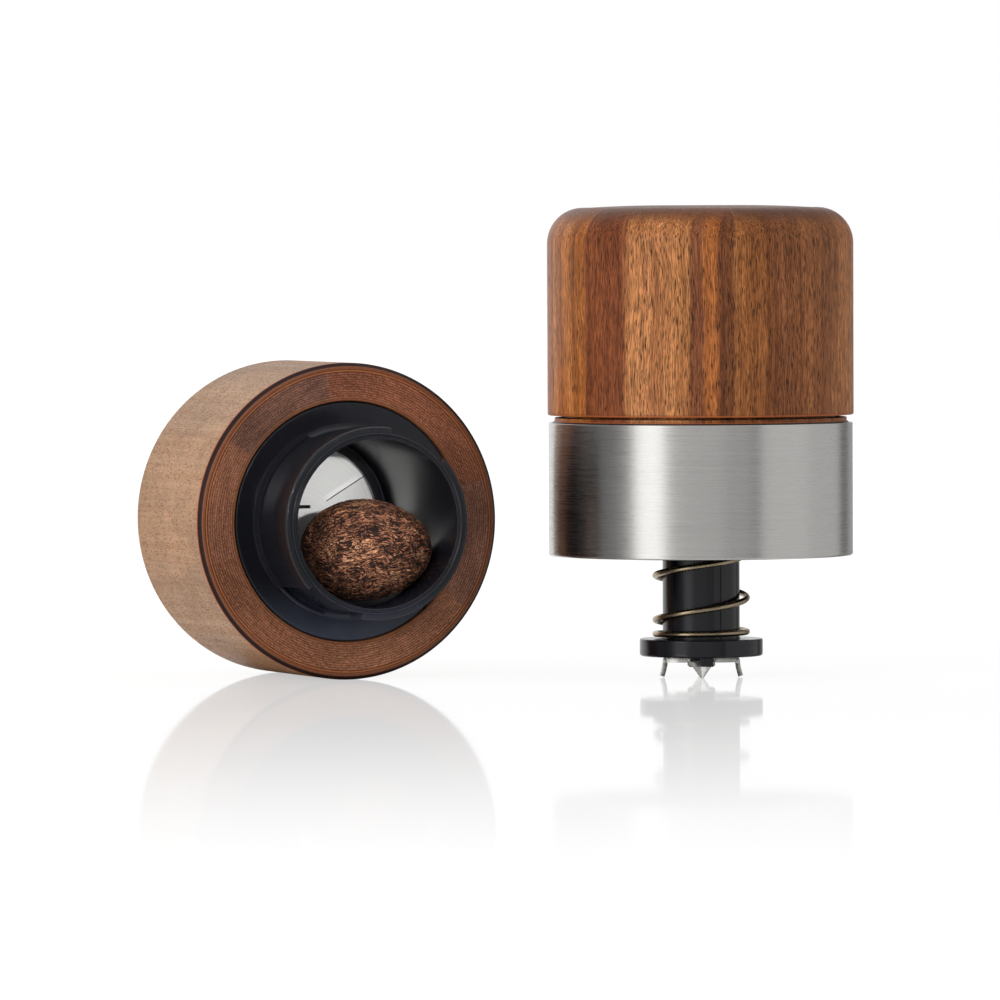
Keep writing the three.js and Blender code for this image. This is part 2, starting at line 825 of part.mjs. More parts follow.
// Plate with a seat for the shaft and two lugs in front of the star's folded teeth.
function pressurePlate() {
  const plateRadius = plateDiameter / 2;
  const seatRadius = shaftRadius + seatGap;
  const seatLevel = plateTop - shaftSeatDepth;
  const holeRadius = plungerScrewDiameter / 2 + screwGap;
  const lowerX = plateRadius - plateEdgeRound;
  const upperX = plateRadius - plateRimRound;
  const profile = [
    point(holeRadius, plateBottom),
    ...roundEdge(lowerX, plateBottom + plateEdgeRound, plateEdgeRound, -90, 0, edgeSteps),
    ...roundEdge(upperX, plateTop - plateRimRound, plateRimRound, 0, 90, edgeSteps),
    point(seatRadius, plateTop),
    point(seatRadius, seatLevel),
    point(holeRadius, seatLevel),
  ];
  const toothFront = prongRadius + starThickness + lugToTooth;
  const lugs = repeatRound(2, -90, (degrees) => {
    const lug = new THREE.BoxGeometry(lugThickness, lugWidth, lugHeight + plateEdgeRound);
    const middleLevel = plateBottom + (plateEdgeRound - lugHeight) / 2;
    lug.translate(toothFront + lugThickness / 2, lugWidth / 2, middleLevel);
    return lug.rotateZ(radians(degrees));
  });
  return join(revolve(profile, innerSides), lugs);
}

// A plain pointed prong, splayed outward from its arm.
function sideProng(degrees) {
  const outline = polygon([
    point(-prongTopWidth / 2, starTop),
    point(-prongTipWidth / 2, 0),
    point(prongTipWidth / 2, 0),
    point(prongTopWidth / 2, starTop),
  ]);
  const prong = extrude(outline, -starThickness, 0);
  prong.rotateX(Math.PI / 2);
  prong.rotateZ(Math.PI / 2);
  const splay = new THREE.Matrix4();
  splay.elements[8] = -Math.tan(radians(prongSplayDegrees));
  prong.translate(0, 0, -starTop);
  prong.applyMatrix4(splay);
  prong.translate(prongRadius, 0, starTop);
  return prong.rotateZ(radians(degrees));
}

// A tooth folded down its middle, cut to a point.
function foldedTooth(degrees) {
  const half = starArmWidth / 2;
  const fold = half * Math.tan(radians(toothFoldDegrees));
  const plan = polygon([
    point(prongRadius - fold, -half),
    point(prongRadius + starThickness - fold, -half),
    point(prongRadius + starThickness, 0),
    point(prongRadius + starThickness - fold, half),
    point(prongRadius - fold, half),
    point(prongRadius, 0),
  ]);
  const folded = extrude(plan, 0, starTop);
  const face = polygon([
    point(-half, starTop),
    point(-toothTipWidth / 2, 0),
    point(toothTipWidth / 2, 0),
    point(half, starTop),
  ]);
  const trim = extrude(face, 0, 2 * prongRadius);
  trim.rotateX(Math.PI / 2);
  trim.rotateZ(Math.PI / 2);
  return intersect(folded, trim).rotateZ(radians(degrees));
}

// Star: four arms from one sheet, two with plain prongs and two with folded teeth.
function prongStar() {
  const half = starArmWidth / 2;
  const arm = (degrees) =>
    radialBlock(0, prongRadius, starArmWidth, prongDrop, starTop, degrees);
  const centre = cylinder(half * Math.SQRT2, prongDrop, starTop, screwSides);
  const arms = repeatRound(4, 0, arm);
  const prongs = repeatRound(2, 0, sideProng);
  const teeth = repeatRound(2, -90, foldedTooth);
  const hole = cylinder(
    plungerScrewDiameter / 2 + screwGap,
    prongDrop - overcut,
    starTop + overcut,
    screwSides,
  );
  return cut(join(centre, [...arms, ...prongs, ...teeth]), [hole]);
}

function plateScrew() {
  return screw(
    plungerScrewHeadDiameter,
    plungerScrewHeadHeight,
    plungerScrewDiameter,
    plungerScrewLength,
    plateScrewBottom(),
  );
}

function stopWasher() {
  return ring(plungerScrewDiameter / 2 + screwGap, stopWasherRadius, washerBottom, washerTop, innerSides);
}

// The same kind of screw, pointing down into the shaft's top.
function stopScrew() {
  const upright = screw(
    stopScrewHeadDiameter,
    stopScrewHeadHeight,
    plungerScrewDiameter,
    plungerScrewLength,
    0,
  );
  return upright.rotateX(Math.PI).translate(0, 0, stopHeadTop);
}

// Spring: a right-hand coil whose closed ends ease into its pitch.
const springBottom = plateTop + seatGap + springWire / 2;
const springTop = springSeat - seatGap - springWire / 2;

function easedTurns(turns) {
  const past = turns - springClosedTurns;
  if (past <= 0) return 0;
  if (past < springRampTurns) return (past * past) / (2 * springRampTurns);
  return past - springRampTurns / 2;
}

function springHeight(turns) {
  const rise = springTop - springBottom;
  const closedRise = springClosedPitch * springTurns;
  const openTurns = 2 * easedTurns(springTurns) - springTurns;
  const extraPitch = (rise - closedRise) / openTurns;
  const open = easedTurns(turns) + easedTurns(springTurns) - easedTurns(springTurns - turns) - turns;
  return springBottom + springClosedPitch * turns + extraPitch * open;
}

function springPoint(turns) {
  const angle = radians(springStartDegrees) + 2 * Math.PI * turns;
  const radius = (springDiameter - springWire) / 2;
  return new THREE.Vector3(radius * Math.cos(angle), radius * Math.sin(angle), springHeight(turns));
}

// Least gap of the wire to itself, between points at least half a turn apart.
function springLeastGap() {
  const steps = Math.round(springTurns * springGapStepsPerTurn);
  const path = Array.from({ length: steps + 1 }, (_, i) => springPoint((springTurns * i) / steps));
  const apart = springGapStepsPerTurn / 2;
  let least = Infinity;
  for (let i = 0; i <= steps; i += 1) {
    for (let j = i + apart; j <= steps; j += 1) {
      least = Math.min(least, path[i].distanceTo(path[j]));
    }
  }
  return least - springWire;
}

function spring() {
  const steps = Math.round(springTurns * springStepsPerTurn);
  const places = [];
  const faces = [];
  const up = new THREE.Vector3(0, 0, 1);
  for (let i = 0; i <= steps; i += 1) {
    const turns = (springTurns * i) / steps;
    const middle = springPoint(turns);
    const before = springPoint(turns - springTangentTurns);
    const ahead = springPoint(turns + springTangentTurns).sub(before).normalize();
    const out = new THREE.Vector3(middle.x, middle.y, 0).normalize();
    const rise = new THREE.Vector3().crossVectors(out, ahead).normalize();
    if (rise.dot(up) < 0) rise.negate();
    for (let k = 0; k < springWireSides; k += 1) {
      const angle = (2 * Math.PI * k) / springWireSides;
      const place = middle.clone();
      place.addScaledVector(out, (Math.cos(angle) * springWire) / 2);
      place.addScaledVector(rise, (Math.sin(angle) * springWire) / 2);
      places.push(place.x, place.y, place.z);
    }
  }
  for (let i = 0; i < steps; i += 1) {
    for (let k = 0; k < springWireSides; k += 1) {
      const next = (k + 1) % springWireSides;
      const low = i * springWireSides;
      const high = low + springWireSides;
      faces.push(low + k, high + k, high + next);
      faces.push(low + k, high + next, low + next);
    }
  }
  const last = steps * springWireSides;
  for (let k = 1; k < springWireSides - 1; k += 1) {
    faces.push(0, k, k + 1);
    faces.push(last, last + k + 1, last + k);
  }
  const geometry = new THREE.BufferGeometry();
  geometry.setAttribute("position", new THREE.Float32BufferAttribute(places, 3));
  geometry.setIndex(faces);
  return geometry;
}

console.log("least gap of the spring to itself, mm: " + springLeastGap().toFixed(2));

// Scene: both halves on the table

function numbered(name, geometries, material) {
  return geometries.map((geometry, i) => piece(name + "_" + (i + 1), geometry, material));
}

const baseHalf = new THREE.Group();
baseHalf.add(
  piece("base_wood", baseWood(), baseWoodFinish),
  piece("chamber_liner", chamberLiner(), blackMoulding),
  piece("grating_disc", gratingDisc(), brightSteel),
  piece("disc_retainer", discRetainer(), blackMoulding),
  ...numbered("disc_screw", discScrews(), brightSteel),
  piece("nutmeg", nutmegShape(), nutmegSkin),
);

// The base lies on one flat of its round wall, its mouth turned a little to the right.
const lyingHeight = baseRadius * Math.cos(Math.PI / bodySides);
const laidDown = new THREE.Group();
laidDown.rotation.x = Math.PI / 2;
laidDown.position.y = baseLength;
laidDown.add(baseHalf);
const turned = new THREE.Group();
turned.rotation.z = radians(baseYawDegrees);
turned.position.set(-faceToUpperAxis, -faceAheadOfUpperAxis, lyingHeight);
turned.add(laidDown);

const plunger = new THREE.Group();
plunger.add(
  piece("plunger_shaft", plungerShaft(), blackMoulding),
  piece("pressure_plate", pressurePlate(), blackMoulding),
  piece("prong_star", prongStar(), brightSteel),
  piece("plate_screw", plateScrew(), brightSteel),
  piece("stop_washer", stopWasher(), brightSteel),
  piece("stop_screw", stopScrew(), brightSteel),
  piece("spring", spring(), springSteel),
);

const sleeve = new THREE.Group();
sleeve.add(
  piece("steel_sleeve", steelSleeve(), brushedSteel),
  piece("sleeve_core", sleeveCore(), blackMoulding),
  piece("glide_ring", glideRing(), glideNylon),
);

const cap = new THREE.Group();
cap.add(
  piece("cap_wood", capWood(), capWoodFinish),
  piece("cap_hub", capHub(), blackMoulding),
  ...numbered("hub_screw", hubScrews(), brightSteel),
  piece("hub_circlip", hubCirclip(), brightSteel),
);

const upperHalf = new THREE.Group();
upperHalf.add(plunger, sleeve, cap);

// The pair is centred over the origin, and the prong tips and the base touch the table.
const pair = new THREE.Group();
pair.add(turned, upperHalf);
const extent = new THREE.Box3().setFromObject(pair, true);
const middle = extent.getCenter(new THREE.Vector3());
pair.position.set(-middle.x, -middle.y, 0);

const grater = new THREE.Group();
grater.add(pair);

export default grater;
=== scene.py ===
"""Looks of the mechanical nutmeg grater, opened for filling on a pale table.

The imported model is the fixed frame. This script turns finer pieces round the two axes of the
model, dresses every piece with a finish made of nodes, and sets up the table, lamps and camera.
Sizes are noted in millimetres, as in the workshop, and become metres as a piece is placed.
"""

import logging
import math
from dataclasses import dataclass
from enum import Enum
from functools import partial, reduce
from typing import Sequence, Union

import bmesh
import bpy
from mathutils import Matrix, Vector, noise


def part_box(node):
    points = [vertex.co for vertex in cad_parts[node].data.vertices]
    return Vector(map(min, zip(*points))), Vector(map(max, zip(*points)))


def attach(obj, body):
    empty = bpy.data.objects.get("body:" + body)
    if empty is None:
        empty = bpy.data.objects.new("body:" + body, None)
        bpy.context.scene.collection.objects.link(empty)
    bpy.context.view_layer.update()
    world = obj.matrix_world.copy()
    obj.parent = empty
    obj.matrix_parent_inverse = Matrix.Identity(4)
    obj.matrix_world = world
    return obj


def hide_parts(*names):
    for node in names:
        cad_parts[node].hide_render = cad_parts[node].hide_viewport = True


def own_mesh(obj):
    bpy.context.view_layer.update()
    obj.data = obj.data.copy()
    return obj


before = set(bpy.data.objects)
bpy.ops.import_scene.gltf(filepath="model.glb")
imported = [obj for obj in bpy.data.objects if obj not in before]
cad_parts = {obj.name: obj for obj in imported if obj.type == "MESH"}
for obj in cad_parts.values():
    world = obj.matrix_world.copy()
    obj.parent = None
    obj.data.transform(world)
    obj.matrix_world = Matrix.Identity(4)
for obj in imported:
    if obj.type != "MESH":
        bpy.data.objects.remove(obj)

log = logging.getLogger("nutmeg_grater")

MM = 0.001
FULL_TURN = 2 * math.pi
TURN_STEPS = 224
INNER_STEPS = 128
ARC_STEP_DEGREES = 15
HOLDING_LINE = 0.25
SHARP_DEGREES = 32
WEDGE_FOOT = 0.019
RIM_DEGREES = 60
RAMP_STEPS = 255
RAMP_LEAD = 0.3
Z_AXIS = Vector((0, 0, 1))

# A colour or three lengths
Tone = tuple[float, float, float]
# A corner of a turned outline: its distance from the axis, its level and how it is rounded
Corner = tuple[float, ...]
Socket = bpy.types.NodeSocket
Value = Union[Socket, float, tuple]


class Body(Enum):
    """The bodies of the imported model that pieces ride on."""

    BASE = "base"
    NUTMEG = "nutmeg"
    SLEEVE = "sleeve"
    CAP = "cap"
    PLUNGER = "plunger"


class Slot(Enum):
    """The material slots meant for the pieces made here, by name."""

    BASE_WOOD = "base_wood"
    CAP_WOOD = "cap_wood"
    MOULDING = "black_moulding"
    BRUSHED = "brushed_steel"
    BRIGHT = "bright_steel"
    SPRING = "spring_steel"
    NUTMEG = "nutmeg"


def linear(tone: Tone, share: float = 1.0) -> tuple[float, float, float, float]:
    """Turns a screen colour into the one that a shader reads.

    Args:
        tone: red, green and blue from 0 to 255.
        share: the colour's opacity, kept as its fourth value.

    Returns:
        The linear colour, from 0 to 1.
    """
    values = []
    for part in tone:
        part = part / 255
        values.append(part / 12.92 if part <= 0.04045 else ((part + 0.055) / 1.055) ** 2.4)
    return (values[0], values[1], values[2], share)


# Shapes


def rounded(corners: Sequence[Corner], closed: bool) -> list[Vector]:
    """Rounds the corners of an outline.

    Args:
        corners: the outline's corners in order.
        closed: whether the last corner joins the first.

    Returns:
        Points of the outline, with a holding line beside each rounding so that flats stay flat.
    """
    points: list[Vector] = []
    places = [Vector(corner[:2]) for corner in corners]
    for i, (here, corner) in enumerate(zip(places, corners)):
        rounding = corner[2] if len(corner) > 2 else 0.0
        if rounding <= 0 or (not closed and i in (0, len(places) - 1)):
            points.append(here)
            continue
        back = places[i - 1] - here
        ahead = places[(i + 1) % len(places)] - here
        half = back.angle(ahead) / 2
        reach = rounding / math.tan(half)
        to_back, to_ahead = back.normalized(), ahead.normalized()
        centre = here + (to_back + to_ahead).normalized() * rounding / math.sin(half)
        first = here + to_back * reach - centre
        final = here + to_ahead * reach - centre
        sweep = math.atan2(first.x * final.y - first.y * final.x, first.dot(final))
        steps = max(2, round(abs(math.degrees(sweep)) / ARC_STEP_DEGREES))
        if rounding > 2 * HOLDING_LINE:
            steps *= 2
        if back.length > reach + 4 * HOLDING_LINE:
            points.append(here + to_back * (reach + HOLDING_LINE))
        for k in range(steps + 1):
            turn = Matrix.Rotation(sweep * k / steps, 2)
            points.append(centre + turn @ first)
        if ahead.length > reach + 4 * HOLDING_LINE:
            points.append(here + to_ahead * (reach + HOLDING_LINE))
    return points


@dataclass(frozen=True)
class Station:
    """A place along a bent strip, on its outer face.

    The strip is so wide to each side there, its edges are folded in this far towards the axis, and
    its middle line stands this far aside.
    """

    radius: float
    level: float
    half_width: float
    fold: float = 0.0
    crease: float = 0.0


class Workpiece:
    """Solids on the bench, in millimetres round the Z axis, that become one placed piece."""

    def __init__(self) -> None:
        """Starts with an empty bench."""
        self.mesh = bmesh.new()

    def _keep(self, solid: bmesh.types.BMesh, degrees: float = 0) -> "Workpiece":
        """Closes a solid, turns it round the axis and adds it to the bench.

        Args:
            solid: the new solid, which is used up.
            degrees: how far it is turned.

        Returns:
            The workpiece, so that calls can follow on.
        """
        bmesh.ops.remove_doubles(solid, verts=solid.verts, dist=1e-4)
        bmesh.ops.recalc_face_normals(solid, faces=solid.faces)
        turn = Matrix.Rotation(math.radians(degrees), 4, "Z")
        bmesh.ops.transform(solid, matrix=turn, verts=solid.verts)
        spare = bpy.data.meshes.new("spare")
        solid.to_mesh(spare)
        solid.free()
        self.mesh.from_mesh(spare)
        bpy.data.meshes.remove(spare)
        return self

    def turn(self, corners: Sequence[Corner], steps: int = TURN_STEPS) -> "Workpiece":
        """Turns an outline all the way round the axis.

        Args:
            corners: the outline, open where both ends lie on the axis.
            steps: flats in a full turn.

        Returns:
            The workpiece.
        """
        solid = bmesh.new()
        closed = corners[0][0] > 0
        verts = [solid.verts.new((p.x, 0, p.y)) for p in rounded(corners, closed)]
        pairs = list(zip(verts, verts[1:]))
        if closed:
            pairs.append((verts[-1], verts[0]))
        edges = [solid.edges.new(pair) for pair in pairs]
        bmesh.ops.spin(
            solid, geom=verts + edges, axis=Z_AXIS, angle=FULL_TURN, steps=steps, use_merge=True
        )
        return self._keep(solid)

    def sweep(
        self, corners: Sequence[Corner], start: float, end: float, soften: float = 0.2
    ) -> "Workpiece":
        """Sweeps an outline part of the way round the axis.

        Args:
            corners: the closed outline.
            start: angle where it starts, in degrees.
            end: angle where it ends, in degrees.
            soften: rounding of its two end faces.

        Returns:
            The workpiece.
        """
        solid = bmesh.new()
        verts = [solid.verts.new((p.x, 0, p.y)) for p in rounded(corners, True)]
        first = solid.faces.new(verts)
        steps = max(2, round(TURN_STEPS * abs(end - start) / 360))
        swept = bmesh.ops.spin(
            solid,
            geom=verts + list(first.edges) + [first],
            axis=Z_AXIS,
            angle=math.radians(end - start),
            steps=steps,
        )
        last = [part for part in swept["geom_last"] if isinstance(part, bmesh.types.BMFace)]
        rims = list({edge for face in [first, *last] for edge in face.edges})
        if soften > 0:
            bevel_edges(solid, rims, soften, 2)
        return self._keep(solid, start)

    def block(
        self,
        size: Vector,
        centre: Vector,
        degrees: float = 0,
        soften: float = 0.15,
        flare: float = 1.0,
    ) -> "Workpiece":
        """Adds a block with softened edges.

        Args:
            size: its lengths.
            centre: its middle, before it is turned round the axis.
            degrees: how far it is turned round the axis.
            soften: width of its softened edges.
            flare: how much wider it is at its outer face than at its inner one.

        Returns:
            The workpiece.
        """
        solid = bmesh.new()
        bmesh.ops.create_cube(solid, size=1)
        outer = [vert for vert in solid.verts if vert.co.x > 0]
        bmesh.ops.scale(solid, vec=Vector((1, flare, 1)), verts=outer)
        bmesh.ops.scale(solid, vec=size, verts=solid.verts)
        bmesh.ops.translate(solid, vec=centre, verts=solid.verts)
        if soften > 0:
            bevel_edges(solid, list(solid.edges), soften, 3)
        return self._keep(solid, degrees)

    def wedge(
        self,
        along: tuple[float, float],
        aside: tuple[float, float],
        levels: tuple[float, float],
        degrees: float,
    ) -> "Workpiece":
        """Adds a ramp that rises to an edge: a block with its far upper side pressed down.

        Args:
            along: where it starts and ends along its radius.
            aside: its edge's and its foot's distance beside that radius.
            levels: its lowest level and its edge's.
            degrees: how far it is turned round the axis.

        Returns:
            The workpiece.
        """
        solid = bmesh.new()
        bmesh.ops.create_cube(solid, size=1)
        size = Vector((along[1] - along[0], aside[1] - aside[0], levels[1] - levels[0]))
        middle = Vector((sum(along) / 2, sum(aside) / 2, sum(levels) / 2))
        bmesh.ops.scale(solid, vec=size, verts=solid.verts)
        bmesh.ops.translate(solid, vec=middle, verts=solid.verts)
        far = [vert for vert in solid.verts if vert.co.z > middle.z and vert.co.y > middle.y]
        bmesh.ops.translate(solid, vec=Vector((0, 0, WEDGE_FOOT - size.z)), verts=far)
        return self._keep(solid, degrees)

    def bend_strip(
        self, stations: Sequence["Station"], thickness: float, degrees: float, soften: float = 0.07
    ) -> "Workpiece":
        """Bends a strip of sheet along a path that leads out from the axis.

        Args:
            stations: where the strip's outer face passes, and its shape there.
            thickness: the sheet's thickness, laid under that face.
            degrees: how far the strip is turned round the axis.
            soften: width of its softened edges.

        Returns:
            The workpiece.
        """
        solid = bmesh.new()
        last = len(stations) - 1
        bmesh.ops.create_grid(solid, x_segments=4, y_segments=last, size=1)
        for vert in solid.verts:
            station = stations[round((vert.co.y + 1) / 2 * last)]
            aside = abs(vert.co.x)
            across = vert.co.x * station.half_width + (1 - aside) * station.crease
            vert.co = Vector((station.radius - aside * station.fold, across, station.level))
        bmesh.ops.recalc_face_normals(solid, faces=solid.faces)
        flat = max(solid.faces, key=lambda face: abs(face.normal.z))
        if flat.normal.z < 0:
            bmesh.ops.reverse_faces(solid, faces=solid.faces)
        bmesh.ops.solidify(solid, geom=list(solid.faces), thickness=thickness)
        bmesh.ops.recalc_face_normals(solid, faces=solid.faces)
        rims = [edge for edge in solid.edges if edge.calc_face_angle(0) > math.radians(RIM_DEGREES)]
        bevel_edges(solid, rims, soften, 2)
        return self._keep(solid, degrees)

    def lay_round(self) -> "Workpiece":
        """Lays a UV map with its first direction round the axis and its second along it.

        Returns:
            The workpiece.
        """
        layer = self.mesh.loops.layers.uv.new("around")
        for face in self.mesh.faces:
            middle = face.calc_center_median()
            main = math.atan2(middle.y, middle.x)
            for loop in face.loops:
                place = loop.vert.co
                angle = math.atan2(place.y, place.x)
                angle += FULL_TURN * round((main - angle) / FULL_TURN)
                loop[layer].uv = (angle / FULL_TURN, place.z / 100)
        return self


def bevel_edges(
    solid: bmesh.types.BMesh, edges: list[bmesh.types.BMEdge], width: float, segments: int
) -> None:
    """Rounds some edges of a solid.

    Args:
        solid: the solid.
        edges: its edges to round.
        width: the rounding's width.
        segments: its faces across.
    """
    bmesh.ops.bevel(
        solid,
        geom=edges,
        offset=width,
        segments=segments,
        profile=0.5,
        affect="EDGES",
        clamp_overlap=True,
        material=-1,
    )


def to_object(name: str, work: Workpiece, place: Matrix) -> bpy.types.Object:
    """Makes a workpiece an object, in metres and in its place in the row frame.

    Args:
        name: what the piece is called.
        work: the workpiece, which is used up.
        place: the frame that it was made in.

    Returns:
        The object.
    """
    bmesh.ops.transform(work.mesh, matrix=Matrix.Scale(MM, 4) @ place, verts=work.mesh.verts)
    mesh = bpy.data.meshes.new(name)
    work.mesh.to_mesh(mesh)
    work.mesh.free()
    for polygon in mesh.polygons:
        polygon.use_smooth = True
    mesh.set_sharp_from_angle(angle=math.radians(SHARP_DEGREES))
    piece = bpy.data.objects.new(name, mesh)
    bpy.context.scene.collection.objects.link(piece)
    return piece


def carve(piece: bpy.types.Object, cutter: Workpiece, place: Matrix) -> bpy.types.Object:
    """Cuts a workpiece out of a placed piece.

    Args:
        piece: the placed piece.
        cutter: the workpiece to cut with, which is used up.
        place: the frame that the cutter was made in.

    Returns:
        The piece.
    """
    tool = to_object(piece.name + "_cutter", cutter, place)
    cut = piece.modifiers.new("cut", "BOOLEAN")
    cut.operation = "DIFFERENCE"
    cut.solver = "EXACT"
    cut.object = tool
    bpy.context.view_layer.update()
    shape = piece.evaluated_get(bpy.context.evaluated_depsgraph_get())
    made = bpy.data.meshes.new_from_object(shape)
    piece.modifiers.clear()
    spare = piece.data
    piece.data = made
    made.name = piece.name
    bpy.data.meshes.remove(spare)
    bpy.data.objects.remove(tool)
    made.set_sharp_from_angle(angle=math.radians(SHARP_DEGREES))
    return piece


def hand_over(
    piece: bpy.types.Object, body: Body, slot: Slot, node: str, *materials: bpy.types.Material
) -> None:
    """Dresses a placed piece and joins it to the frame.

    Args:
        piece: the placed object.
        body: what it rides on.
        slot: not used.
        node: the model's node that it stands for.
        materials: its finishes, in the order of their numbers.
    """
    for material in materials:
        piece.data.materials.append(material)
    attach(piece, body.value)
    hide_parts(node)
    log.info("%s: %d faces, rides on %s", piece.name, len(piece.data.polygons), body.value)


def dress(node: str, material: bpy.types.Material) -> None:
    """Gives a node of the model that stays in view a finish.

    Args:
        node: the model's node.
        material: its finish.
    """
    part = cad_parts[node]
    for holder in part.material_slots:
        holder.material = material
    log.info("%s: kept from the model", node)


@dataclass(frozen=True)
class Layout:
    """Where the axes of the two halves lie."""

    yaw_degrees: float = 21.0
    face_to_upper_axis: float = 68.85
    face_ahead_of_upper_axis: float = 7.0
    base_length: float = 39.0

    def upper(self) -> Matrix:
        """The upper half's frame: Z up its axis from the prong tips.

        Returns:
            The frame, in millimetres.
        """
        low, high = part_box("cap_wood")
        middle = (low + high) / 2 / MM
        return Matrix.Translation((middle.x, middle.y, 0))

    def base(self) -> Matrix:
        """The base half's frame: Z along its axis from foot to mouth, X right and Y up.

        Returns:
            The frame, in millimetres.
        """
        low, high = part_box("base_wood")
        axis = self.upper().translation
        face = Vector(
            (
                axis.x - self.face_to_upper_axis,
                axis.y - self.face_ahead_of_upper_axis,
                (low.z + high.z) / 2 / MM,
            )
        )
        yaw = Matrix.Rotation(math.radians(self.yaw_degrees), 4, "Z")
        set_back = Matrix.Translation((0, self.base_length, 0))
        lay_down = Matrix.Rotation(math.pi / 2, 4, "X")
        return Matrix.Translation(face) @ yaw @ set_back @ lay_down


# Finishes


class Nodes:
    """A tree of shading nodes, written as short sums."""

    def __init__(self, tree: bpy.types.NodeTree) -> None:
        """Takes the tree that the nodes go into."""
        self.tree = tree

    def node(self, kind: str, **inputs: Value) -> bpy.types.Node:
        """A new node of a kind, with some of its inputs set or linked.

        Args:
            kind: the node's type.
            inputs: values or sockets for its inputs, by their names.

        Returns:
            The node.
        """
        node = self.tree.nodes.new(kind)
        for name, value in inputs.items():
            self.put(node.inputs[name], value)
        return node

    def put(self, socket: Socket, value: Value) -> None:
        """Links a socket to another, or sets its value.

        Args:
            socket: the socket that reads.
            value: what it reads.
        """
        if isinstance(value, bpy.types.NodeSocket):
            self.tree.links.new(value, socket)
        else:
            socket.default_value = value

    def calc(self, operation: str, *values: Value) -> Socket:
        """The result of a math node.

        Args:
            operation: what the node works out.
            values: what it works on.

        Returns:
            The result.
        """
        node = self.node("ShaderNodeMath")
        node.operation = operation
        for socket, value in zip(node.inputs, values):
            self.put(socket, value)
        return node.outputs[0]

    def plus(self, *values: Value) -> Socket:
        """The sum of values."""
        return reduce(partial(self.calc, "ADD"), values)

    def times(self, *values: Value) -> Socket:
        """The product of values."""
        return reduce(partial(self.calc, "MULTIPLY"), values)

    def minus(self, first: Value, second: Value) -> Socket:
        """One value less another."""
        return self.calc("SUBTRACT", first, second)

    def vector(self, operation: str, *values: Value) -> Socket:
        """The vector result of a vector math node.

        Args:
            operation: what the node works out.
            values: what it works on.

        Returns:
            The result.
        """
        node = self.node("ShaderNodeVectorMath")
        node.operation = operation
        for socket, value in zip(node.inputs, values):
            self.put(socket, value)
        return node.outputs[0]

    def split(self, source: Socket) -> tuple[Socket, Socket, Socket]:
        """The three parts of a vector.

        Args:
            source: the vector.

        Returns:
            Its X, Y and Z.
        """
        node = self.node("ShaderNodeSeparateXYZ")
        self.put(node.inputs[0], source)
        return tuple(node.outputs)

    def combine(self, x: Value, y: Value, z: Value) -> Socket:
        """A vector of three parts.

        Args:
            x: its first part.
            y: its second part.
            z: its third part.

        Returns:
            The vector.
        """
        node = self.node("ShaderNodeCombineXYZ")
        for socket, value in zip(node.inputs, (x, y, z)):
            self.put(socket, value)
        return node.outputs[0]

    def remap(
        self,
        value: Value,
        low: float,
        high: float,
        to_low: float,
        to_high: float,
        kind: str = "SMOOTHSTEP",
    ) -> Socket:
        """A value carried from one range to another, and held at its ends.

        Args:
            value: the value.
            low: where the first range starts.
            high: where it ends.
            to_low: where the second range starts.
            to_high: where it ends.
            kind: how the value runs between the ends.

        Returns:
            The new value.
        """
        node = self.node("ShaderNodeMapRange")
        node.interpolation_type = kind
        for socket, part in zip(node.inputs, (value, low, high, to_low, to_high)):
            self.put(socket, part)
        return node.outputs[0]

    def mix(self, factor: Value, first: Value, second: Value, blend: str = "MIX") -> Socket:
        """Two colours mixed.

        Args:
            factor: the second colour's share.
            first: the first colour.
            second: the second colour.
            blend: how they are mixed.

        Returns:
            The mixed colour.
        """
        node = self.node("ShaderNodeMix")
        node.data_type = "RGBA"
        node.blend_type = blend
        self.put(node.inputs[0], factor)
        self.put(node.inputs[6], first)
        self.put(node.inputs[7], second)
        return node.outputs[2]

    def length(self, x: Value, y: Value) -> Socket:
        """The length of two parts at right angles."""
        squares = self.plus(self.times(x, x), self.times(y, y))
        return self.calc("SQRT", squares)

    def ramp(
        self, value: Value, stops: Sequence[tuple[float, tuple]], steps: bool = False
    ) -> tuple[Socket, Socket]:
        """The colour and opacity that a value stands for.

        Args:
            value: a value from 0 to 1.
            stops: places from 0 to 1 with their colours.
            steps: whether a colour holds until the next stop.

        Returns:
            The colour and the opacity.
        """
        node = self.node("ShaderNodeValToRGB")
        node.color_ramp.interpolation = "CONSTANT" if steps else "LINEAR"
        elements = node.color_ramp.elements
        while len(elements) > 1:
            elements.remove(elements[-1])
        elements[0].position = stops[0][0]
        elements[0].color = stops[0][1]
        for place, colour in stops[1:]:
            elements.new(place).color = colour
        self.put(node.inputs[0], value)
        return node.outputs[0], node.outputs[1]


